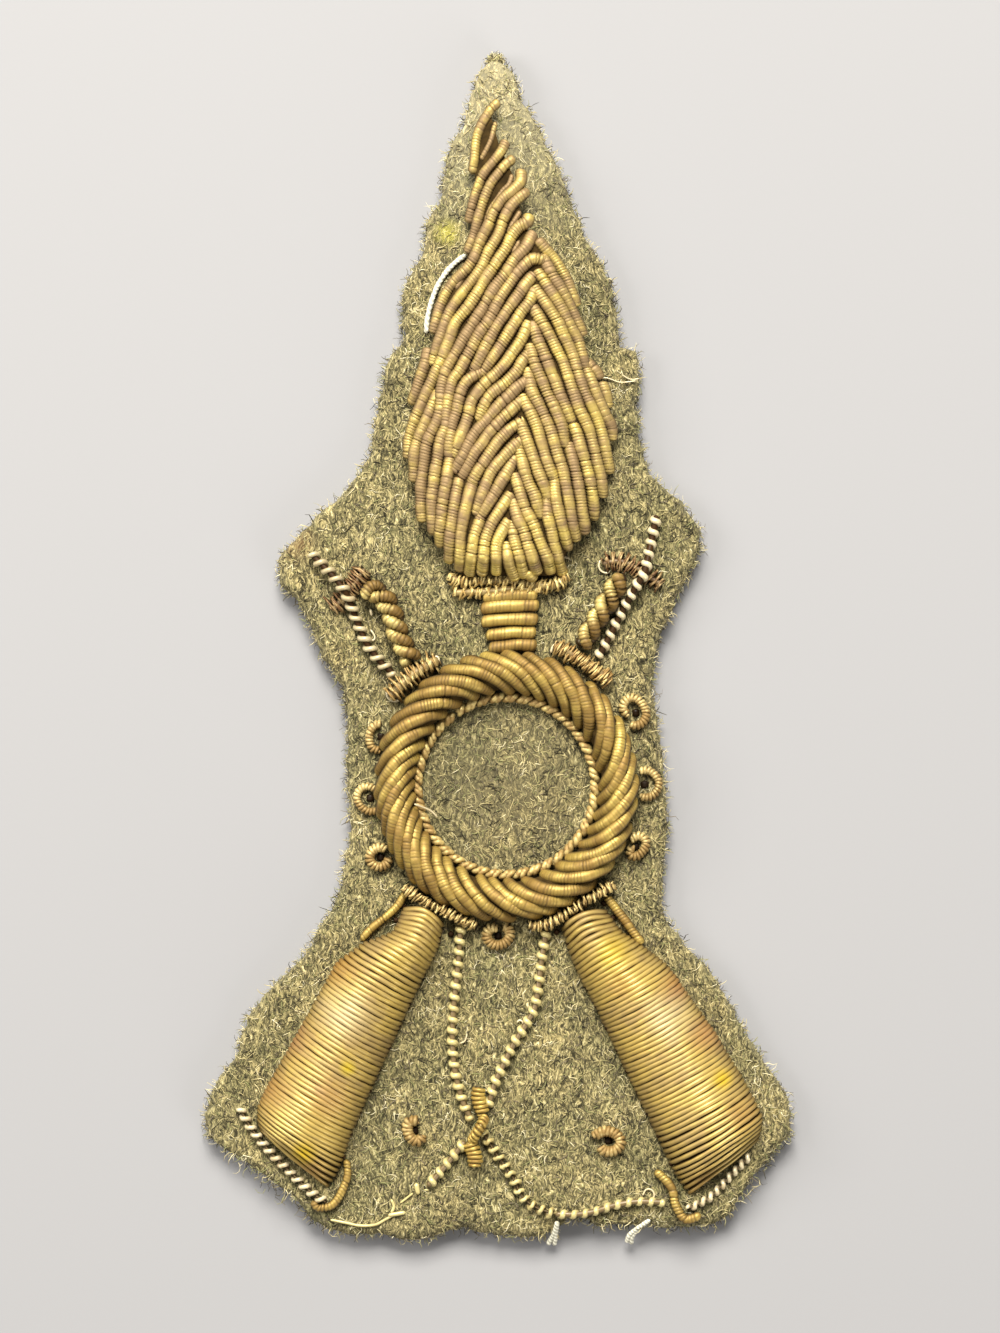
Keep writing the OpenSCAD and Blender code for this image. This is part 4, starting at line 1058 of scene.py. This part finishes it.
# Each rope's name, its node, its purls' width, its lead, its seed, and its route: x, y
ropes = [
    ("left_fore_end", "left_forend", 0.86, 2.1, 271, [
        (-9.1, 3.9), (-8.3, 3.95), (-7.55, 3.3), (-7.05, 2.3), (-6.7, 1.1), (-6.2, -0.05), (-5.75, -0.75)]),
    ("right_fore_end", "right_forend", 0.84, 2.3, 274, [
        (8.35, 5.0), (7.75, 3.9), (7.1, 2.7), (6.35, 1.5), (5.75, 0.3)])]


def purl_rope(route, wide, lead, seed):
    """Two purls round each other: each is a coil tube along a left-hand helix about the route, and both are
    painted brighter on its right and on top, a painted light."""
    path, place = smooth_route(route, 0.12, on_felt(2 * ROPE_ORBIT))
    along, left, up = frames(path)
    skins = []
    for ply in range(2):
        angle = TURN * (place / lead + ply / 2) + 0.6
        helix = path + ROPE_ORBIT * (np.cos(angle)[:, None] * left - np.sin(angle)[:, None] * up)
        skin, marks = purl(helix, wide, seed + ply, ROPE_PITCH, rib=0.34, plain=0.0)
        # Painted light: the tone mark rises on the rope's right side, so that side shows brighter gilt.
        right = np.interp(np.linspace(0, 1, len(skin)), np.linspace(0, 1, len(path)), -np.cos(angle))
        marks[..., 1] = np.clip(marks[..., 1] * 0.5 + 0.2 + 0.6 * right[:, None], 0, 1)
        # Painted light and shade: the light mark rises where the purl lies high in the rope and falls where
        # it lies low.
        raised = (skin.mean(axis=1)[:, 2:3] - path[:, 2].mean()) / ROPE_ORBIT
        marks[..., 0] = np.clip(marks[..., 0] * 0.6 + 0.45 * raised, 0, 1)
        skins.append((skin, marks))
    return skins


for name, node, wide, lead, seed, route in ropes:
    sew(name, purl_rope(route, wide, lead, seed), rope_purl, [node], PURL_SIDES)

# Ring bands and stock bands: thick rough purls that close the gaps where the rifles pass under the
# ring, two above it over the fore-ends and two below it over the necks of the stocks.
gilt_rough = wire_material("gilt_rough_purl", (0.74, 0.58, 0.24), (0.3, 0.18, 0.055), (0.05, 0.026, 0.007),
                           0.62, 1800.0, 0.3)

# Each band's name, its width and height, how much brighter it is, and its route: x, y
bands = [
    ("left_ring_band", 1.3, 1.15, 0.0, [(-7.25, -3.2), (-6.3, -2.2), (-5.3, -1.4), (-4.0, -0.65)]),
    ("right_ring_band", 1.15, 1.15, 0.0, [(3.8, 0.25), (5.1, -0.35), (6.3, -1.15), (7.6, -2.1)]),
    ("left_stock_band", 0.8, 1.5, 0.35, [(-6.4, -16.0), (-5.4, -16.6), (-4.4, -17.2), (-3.1, -17.85),
                                         (-1.45, -18.65)]),
    ("right_stock_band", 0.76, 1.5, 0.35, [(7.85, -15.75), (7.1, -16.3), (5.8, -16.95), (4.3, -18.0),
                                           (3.2, -18.5), (2.1, -18.6)])]
for i, (name, wide, high, bright, route) in enumerate(bands):
    sew(name + "_purl", rough_purl(route, wide, high, 281 + i, on_felt(high / 2), 0.38, 0.065), gilt_rough,
        [name], lift_tone=bright)

# Stocks: gilt wire wound in fifty-seven close turns over a carved felt padding, from the narrow neck to
# the butt. The padding's sides are steep, and dark needle holes show where the wire turns under; the holes'
# dots and the padding are made darker, a painted shade for their shadow, and the wires are painted darker
# towards the steep sides.
STOCK_HIGH, STOCK_WIRES, STOCK_WIRE, STOCK_BOW, STOCK_PADDING_SUNK = 3.3, 57, 0.37, 0.55, 0.3
UNEVEN_GAP, UNEVEN_SAG, UNEVEN_HIGH = 0.022, 0.03, 0.012

# Each row: share of the length, x and y of the outer edge, x and y of the inner edge, share of the height
left_stock_shape = [
    (0.0, -6.25, -17.4, -3.75, -18.45, 0.5), (0.08, -6.7, -18.6, -4.1, -20.0, 0.85),
    (0.12, -7.1, -19.2, -4.4, -20.7, 0.9), (0.2, -8.9, -19.75, -5.05, -22.0, 0.95),
    (0.3, -10.8, -21.1, -5.95, -23.9, 1.0),
    (0.58, -13.3, -25.6, -8.2, -28.8, 1.0), (0.8, -15.4, -29.3, -9.9, -32.6, 0.97),
    (0.91, -16.2, -30.9, -10.5, -34.6, 0.86), (0.96, -16.2, -31.7, -10.95, -35.6, 0.66),
    (1.0, -16.05, -32.5, -11.5, -36.45, 0.24)]
right_stock_shape = [
    (0.0, 7.25, -17.6, 4.4, -18.7, 0.5), (0.09, 8.2, -19.0, 5.05, -20.7, 0.85),
    (0.18, 9.7, -20.0, 5.75, -22.3, 0.95), (0.3, 11.5, -21.4, 6.7, -24.1, 1.0),
    (0.58, 14.6, -25.8, 8.95, -28.9, 1.0), (0.8, 16.8, -29.4, 10.8, -32.7, 0.97),
    (0.91, 17.9, -31.5, 11.9, -35.2, 0.86), (0.96, 17.8, -32.4, 12.4, -36.1, 0.62),
    (1.0, 17.6, -33.2, 13.0, -36.9, 0.2)]

# Stain spots on the windings, and two pale spots on the stocks' outer halves, at (-10.3, -24.3) and (11.6,
# -24.6), that are painted highlights: centre, radius, colour and strength
wound_gilt = wire_material("wound_gilt", (0.5, 0.36, 0.096), (0.34, 0.238, 0.082), (0.1, 0.058, 0.016),
                           0.5, 420.0, 0.32, [
    ((-11.0, -21.2), 2.4, (0.3, 0.14, 0.03), 0.6), ((-14.2, -26.0), 2.4, (0.34, 0.17, 0.06), 0.6),
    ((-15.4, -29.5), 2.2, (0.3, 0.15, 0.05), 0.6), ((-11.3, -30.0), 2.2, (0.42, 0.23, 0.1), 0.5),
    ((-12.6, -35.0), 1.8, (0.34, 0.18, 0.06), 0.6), ((-10.3, -24.3), 2.6, (0.62, 0.53, 0.32), 0.4),
    ((-13.0, -33.8), 1.2, (0.6, 0.42, 0.02), 0.9), ((-10.0, -28.0), 0.8, (0.56, 0.42, 0.02), 0.8),
    ((7.7, -20.3), 1.8, (0.56, 0.41, 0.03), 0.6), ((15.1, -28.8), 1.0, (0.6, 0.42, 0.02), 0.9),
    ((8.3, -22.3), 1.6, (0.36, 0.19, 0.04), 0.5), ((12.1, -22.6), 1.8, (0.36, 0.16, 0.05), 0.6),
    ((14.0, -25.8), 1.8, (0.38, 0.18, 0.07), 0.6), ((16.4, -31.2), 1.8, (0.34, 0.18, 0.06), 0.5),
    ((11.6, -24.6), 2.4, (0.64, 0.54, 0.33), 0.4), ((14.3, -36.0), 2.0, (0.34, 0.18, 0.05), 0.6)])


def stock_place(shape, share, across):
    """A place on a stock: share 0 to 1 from neck to butt, across 0 to 1 from outer to inner edge. Its height
    is a half-round, sin(pi across)^0.5 of the full height there. Near the neck it bows towards the ring."""
    table = np.array(shape)
    x0, y0, x1, y1, level = (np.interp(share, table[:, 0], table[:, c]) for c in range(1, 6))
    round_off = np.sin(np.pi * np.clip(across, 0, 1))
    height = STOCK_HIGH * level * np.clip(round_off, 0.0, 1) ** 0.5
    axis = table[0, [1, 2]] + table[0, [3, 4]] - table[-1, [1, 2]] - table[-1, [3, 4]]
    bow = STOCK_BOW * round_off * np.clip(1 - share / 0.3, 0, 1) / np.hypot(*axis)
    x, y = x0 + (x1 - x0) * across + bow * axis[0], y0 + (y1 - y0) * across + bow * axis[1]
    return x, y, FELT_TOP + height


def wound_stock(name, shape, seed):
    """Wires over the stock, each at its own share of the length and a hair off level, above a padding heap.
    They are thicker at the neck, and thinner and brighter at the butt, where the gaps between them show. Each
    wire is painted darker towards the stock's edges and in the grooves, more so at the neck and butt, a
    painted shade; the butt's extra brightness is a painted light."""
    rng = np.random.default_rng(seed)
    skins = []
    reach = np.linspace(0, 1, 23)
    reach = reach - 0.09 * np.sin(TURN * reach) / TURN * 2
    for i in range(STOCK_WIRES):
        share = (i + 0.5 + rng.normal(0, UNEVEN_GAP)) / STOCK_WIRES
        x, y, z = stock_place(shape, share, reach)
        sag = UNEVEN_SAG * np.sin(reach * 9 + rng.uniform(0, 6))
        route = np.column_stack([x, y + sag, z - STOCK_WIRE / 2 + rng.normal(0, UNEVEN_HIGH)])
        neck, butt = np.clip(1.3 - 4 * share, 0, 1), np.clip((share - 0.86) / 0.06, 0, 1)
        wide = STOCK_WIRE * (1 + 0.14 * neck - 0.24 * butt)
        skin, mark = strand(route, wide, seed + i, step=0.3, reach=0.05, light=1.0)
        edge = np.linspace(0, 1, len(skin))
        # Painted shade: the light mark is made steeper, darker in the grooves at the neck and butt, and falls
        # off towards both edges of the stock.
        mark[..., 0] **= 2 + 7 * neck + butt
        mark[..., 0] *= np.clip(np.sin(np.pi * edge), 0.1, 1)[:, None]
        slow, fast = (ripple(skin[..., 0], skin[..., 1], size, 5) for size in (2.2, 0.4))
        # Painted light: the tone mark rises at the butt, whose wires face away from the key lamp.
        mark[..., 1] = np.clip(mark[..., 1] * 0.5 + 0.5 * slow + 0.35 * fast + 0.3 + 0.4 * butt, 0, 1)
        skins.append((skin, mark))
    sew(name + "_winding", skins, wound_gilt, [name])
    share, across = np.meshgrid(np.linspace(0.004, 0.996, 40), np.linspace(0.03, 0.97, 24), indexing="ij")
    x, y, z = stock_place(shape, share, across)
    if x[0, 0] > x[0, -1]:
        x, y, z = (np.flip(v, 1) for v in (x, y, z))
    points, faces = mound(x, y, np.maximum(z - STOCK_PADDING_SUNK, FELT_TOP + 0.02))
    make_piece(name + "_padding", points, [group[:, ::-1] for group in faces], shade_dark_padding)


wound_stock("left_stock", left_stock_shape, 500)
wound_stock("right_stock", right_stock_shape, 600)

# Trigger guards and heels: single smooth purls, one laid from the ring along each stock's outer
# shoulder and one bent round the inner corner of each butt, each sewn through its coil.

# Each purl's name, its width, its coil's pitch, and its route: x, y
small_purls = [
    ("left_trigger_guard", 0.62, 0.22, [(-6.2, -16.4), (-7.0, -17.5), (-8.3, -18.65), (-9.25, -19.6)]),
    ("right_trigger_guard", 0.68, 0.22, [(7.35, -16.6), (8.2, -17.7), (9.05, -18.85), (9.75, -19.9)]),
    ("left_heel_purl", 0.62, 0.24, [(-10.2, -34.4), (-10.15, -35.6), (-10.6, -36.7), (-11.2, -37.5),
                                    (-12.1, -37.7), (-12.5, -37.2)]),
    ("right_heel_purl", 0.72, 0.24, [(10.7, -35.1), (11.7, -36.3), (12.1, -37.6), (12.7, -38.45),
                                     (13.75, -38.15)])]
for i, (name, wide, pitch, route) in enumerate(small_purls):
    skin = purl(route, wide, 700 + i, pitch, on_felt(wide / 2 + 0.02), rib=0.22, plain=0.1)
    sew(name + "_coil", [skin], ring_purl, [name], PURL_SIDES, 0.3, 0.7)

# Butt cords: a thinner open coil of the pale wire on a lighter brown core, couched along the end of
# each stock, for the butt plate.
coil_core = wire_material("coil_core", (0.26, 0.18, 0.08), (0.17, 0.115, 0.045), (0.06, 0.04, 0.015),
                          0.6, 900.0, 0.1)
BUTT_WIRE, BUTT_CORE, BUTT_UNEVEN = 0.15, 0.06, 0.08

# Each butt cord's name, the coil's orbit and lead, its seed, its height, and its route: x, y
butt_cords = [
    ("left_butt", 0.21, 0.68, 711, 0.33, [
        (-17.45, -30.9), (-16.55, -32.4), (-15.35, -33.9), (-13.9, -35.35), (-12.6, -36.6), (-11.6, -37.3)]),
    ("right_butt", 0.16, 0.6, 713, 0.31, [
        (17.05, -34.15), (15.9, -35.35), (14.6, -36.75), (13.7, -37.35), (12.8, -37.75)])]
for name, orbit, lead, seed, high, route in butt_cords:
    couched_cord(name, route, name + "_cord", BUTT_WIRE, orbit, lead, seed, pale_coil, high, coil_core,
                 BUTT_CORE, crinkle=BUTT_UNEVEN)

# Slings: the same open coil as the barrels, less bright. One comes down from the ring, has pulled open
# past the crossing and is couched again along the foot; the other crosses it and goes on to the left.
sling_coil = wire_material("sling_coil", (0.63, 0.54, 0.24), (0.44, 0.345, 0.13), (0.09, 0.06, 0.02),
                           0.42, 700.0, 0.25)
SLING_WIRE, SLING_LEAD, SLING_HIGH, SLING_CORE, SLING_LEAN = 0.2, 0.76, 0.39, 0.2, 0.11

# Each length's name, its node, the coil's orbit, and its route: x, y
slings = [
    ("left_sling_cord", "left_sling", 0.2, [
        (-2.5, -18.6), (-2.65, -21.0), (-2.95, -24.0), (-3.05, -26.3), (-2.85, -28.5), (-2.3, -30.6),
        (-1.75, -31.7)]),
    ("left_sling_foot", "left_sling", 0.13, [
        (3.9, -38.1), (5.4, -38.1), (6.6, -37.9), (7.9, -37.5), (9.4, -37.25), (11.3, -37.3)]),
    ("right_sling_cord", "right_sling_upper", 0.2, [
        (3.3, -18.9), (3.0, -20.8), (2.75, -22.8), (2.5, -24.2), (1.9, -25.3), (1.1, -26.6), (0.4, -28.0),
        (-0.2, -29.3), (-0.65, -30.9)]),
    ("right_sling_foot", "right_sling_lower", 0.2, [(-2.2, -33.2), (-3.5, -34.8), (-4.7, -36.2)])]
pulled_open = [(-1.1, -32.4), (-0.6, -33.2), (-0.1, -34.0), (0.6, -35.0), (1.2, -35.9), (1.6, -36.8),
               (2.5, -37.6), (3.9, -38.1)]
for i, (name, node, orbit, route) in enumerate(slings):
    couched_cord(name, route, node, SLING_WIRE, orbit, SLING_LEAD, 721 + 3 * i, sling_coil, SLING_HIGH,
                 coil_core, SLING_CORE, SLING_LEAN)
couched_cord("left_sling_open", pulled_open, "left_sling", 0.14, 0.26, 0.66, 735, sling_coil, 0.3,
             coil_core, 0.05, 0.1, 0.12)

# Sling keepers: three short lengths of stout purl sewn down where the slings cross. One passes over
# both slings, and the others lie above and below it.
KEEPER_LEAD = 0.29

# Each keeper's name, its width, and its route: x, y and how far it is raised
keepers = [
    ("sling_crossing_purl", 0.62, [(-0.85, -31.5, 0.2), (-1.1, -32.0, 0.75), (-1.45, -32.6, 0.75),
                                   (-1.75, -33.1, 0.3)]),
    ("sling_keeper_upper", 0.88, [(-1.3, -29.5), (-1.25, -30.3), (-0.95, -31.35)]),
    ("sling_keeper_lower", 0.92, [(-1.95, -33.1), (-1.6, -33.9), (-1.45, -34.85)])]
for i, (name, wide, route) in enumerate(keepers):
    skins = open_purl(route, wide, KEEPER_LEAD, 740 + i)
    sew(name + "_coil", skins, ring_purl, [name], 0, 0.3, 0.7)

# Loose ends: past its last turn the sling's wire has pulled straight and lies slack on the felt, and
# short ends of gilt wire stand out of the coils here and there.

# Each length's route, x and y, and its width
slack = [
    ([(-5.5, -36.0), (-5.35, -36.8)], 0.36),
    ([(-5.0, -36.5), (-4.6, -36.5)], 0.14),
    ([(-5.7, -36.7), (-6.6, -37.4)], 0.16),
    ([(-7.2, -37.1), (-7.0, -37.6), (-7.2, -38.1)], 0.22),
    ([(-7.4, -38.2), (-6.2, -38.0)], 0.3),
    ([(-6.9, -38.1), (-7.6, -38.5), (-8.3, -38.85), (-9.3, -38.9), (-10.3, -38.7), (-11.3, -38.5)], 0.2)]
skins = [strand(route, wide, 751 + i, on_felt(wide / 2), light=1.0)
         for i, (route, wide) in enumerate(slack)]
sew("loose_sling_end", skins, sling_coil, ["sling_loose_end"])
wire_ends = [
    ([(6.95, 6.1), (6.85, 5.7), (7.0, 5.35), (7.4, 5.2), (7.65, 5.4)], 0.14),
    ([(3.6, -0.2), (3.75, 0.25), (4.1, 0.45), (4.6, 0.4)], 0.2),
    ([(-4.5, -0.7), (-4.3, -0.45), (-4.0, -0.5), (-3.95, -0.85)], 0.18),
    ([(-7.5, -2.75), (-7.4, -3.2), (-7.0, -3.45), (-6.6, -3.4)], 0.2),
    ([(-8.6, 1.4), (-8.35, 1.05), (-8.3, 0.75), (-8.6, 0.6)], 0.14),
    ([(-8.6, 2.8), (-8.5, 2.3)], 0.2),
    ([(-5.6, -10.35, 1.5), (-5.1, -10.55, 1.1), (-4.5, -10.85, 0.5), (-4.05, -11.3, 0.1)], 0.15),
    ([(-5.6, -5.9), (-5.4, -6.3)], 0.3),
    ([(-2.6, -26.6), (-2.2, -26.4), (-2.05, -25.9)], 0.12),
    ([(9.8, -36.9), (10.05, -36.45), (10.45, -36.5), (10.6, -36.9), (10.35, -37.1)], 0.13),
    ([(1.3, -25.2), (1.5, -25.0), (1.75, -25.2), (1.6, -25.5)], 0.14),
    ([(4.4, 6.4), (4.65, 6.25), (4.9, 6.2)], 0.16),
    ([(8.4, 18.6), (9.0, 18.3), (9.6, 18.35)], 0.09),
    ([(6.3, 18.2), (7.3, 18.4), (8.3, 18.1), (9.4, 18.2)], 0.09)]
skins = [strand(route, wide, 770 + i, on_felt(0.12 + wide / 2), light=1.0)
         for i, (route, wide) in enumerate(wire_ends)]
sew("wire_ends", skins, pale_coil)

# Stitches: waxed dark thread holds every purl and winding down. It shows as dark dots where the purls
# meet along the flame's spine, in the loops' middles and along each stock's inner edge. The dots also stand
# in for the shadow in these holes, a painted shade.
HOLE_GAP, HOLE_ACROSS = 0.084, 0.995

# Places of the dots along the spine, round the stocks and in the loops: x, y
spine_dots = [
    (0.85, 10.7), (0.75, 8.8), (3.3, 10.2), (1.9, 17.3), (1.5, 15.6), (1.3, 14.3), (2.0, 20.0),
    (-1.7, 18.9), (-3.6, 14.8), (-2.65, 12.0), (-4.35, 19.2), (-2.0, 22.1), (4.2, 13.5), (2.4, 22.4),
    (2.5, 25.0), (-1.2, 11.2)]
stock_dots = [(8.2, -18.95), (7.8, -18.1), (7.2, -17.1), (-6.85, -18.25), (-6.35, -17.3), (4.0, -19.05),
              (-3.15, -19.2)]
loop_dots = [(-5.6, -32.5), (7.5, -33.15), (9.35, -4.25), (9.95, -9.1), (9.35, -13.3), (0.05, -19.3),
             (-7.9, -5.85), (-8.6, -10.0), (-7.9, -14.0)]
knots = [strand([(x - 0.08, y - 0.12, 0.05), (x + 0.08, y + 0.12, 0.05)], 0.26, 810 + i, on_flame,
                light=0.3) for i, (x, y) in enumerate(spine_dots)]
knots += [strand([(x, y - 0.2), (x, y + 0.2)], 0.42, 830 + i, on_felt(0.08), light=0.3)
          for i, (x, y) in enumerate(stock_dots)]
# The loops' dots are sunk and wholly dark: a painted shade for the hole in each loop.
knots += [strand([(x, y - 0.3), (x, y + 0.3)], 0.62, 840 + i, on_felt(-0.1), light=0.0)
          for i, (x, y) in enumerate(loop_dots)]
for i, shape in enumerate((left_stock_shape, right_stock_shape)):
    for j, share in enumerate(np.arange(0.05, 0.97, HOLE_GAP)):
        x, y, z = stock_place(shape, share, HOLE_ACROSS)
        hole = [(x, y - 0.16, 0.35), (x, y + 0.16, 0.35)]
        knots.append(strand(hole, 0.36, 850 + 12 * i + j, on_felt(0), light=0.3))
sew("stitches_and_shade_dots", knots, shade_brown_thread)

# Thread tails: two tufts of the white cotton thread, two strands in each. They are sewn through near
# the felt's foot, hang out below it and touch the table.
TAIL_WIDE, TAIL_START, TAIL_TOP, TAIL_FALL = 0.32, -38.7, 1.9, 0.7

# Each strand's route: x, y
tails = [
    [(4.05, -38.6), (3.85, -39.4), (3.4, -40.35)], [(4.05, -38.6), (3.95, -39.5), (3.85, -40.4)],
    [(10.3, -38.5), (9.5, -39.1), (8.95, -39.6), (8.75, -40.2)],
    [(10.3, -38.5), (9.6, -39.05), (9.1, -39.8), (9.1, -40.3)]]


def hanging(x, y):
    """Height of a tail: the felt's face where it starts, and falling evenly from there with y."""
    return TAIL_TOP + TAIL_FALL * (y - TAIL_START)


skins = []
for i, route in enumerate(tails):
    skin, mark = strand(route, TAIL_WIDE, 790 + i, hanging)
    skin[..., 2] = np.maximum(skin[..., 2], 0.02)
    skins.append((skin, mark))
sew("thread_tails", skins, cotton_thread)

# Eyelets: two scraps of the stout purl, curled up and sewn on the felt below the slings, for the sling
# swivels. Both are duller than the loops beside the ring.
EYELET_WIDE, EYELET_LEAD, EYELET_WIRE = 0.62, 0.25, 0.15

# Each eyelet's name and its route: x, y
eyelets = [
    ("left_eyelet", [(-5.35, -31.75), (-5.95, -31.85), (-6.1, -32.35), (-5.85, -32.95), (-5.3, -33.2),
                     (-5.05, -32.75)]),
    ("right_eyelet", [(6.5, -32.85), (7.1, -32.5), (7.9, -32.6), (8.35, -33.2), (8.0, -33.75), (7.3, -33.85),
                      (6.9, -33.55)])]
for i, (name, route) in enumerate(eyelets):
    skins = open_purl(route, EYELET_WIDE, EYELET_LEAD, 760 + i, EYELET_WIRE)
    sew(name + "_coil", skins, loop_purl, [name], share=0.55)
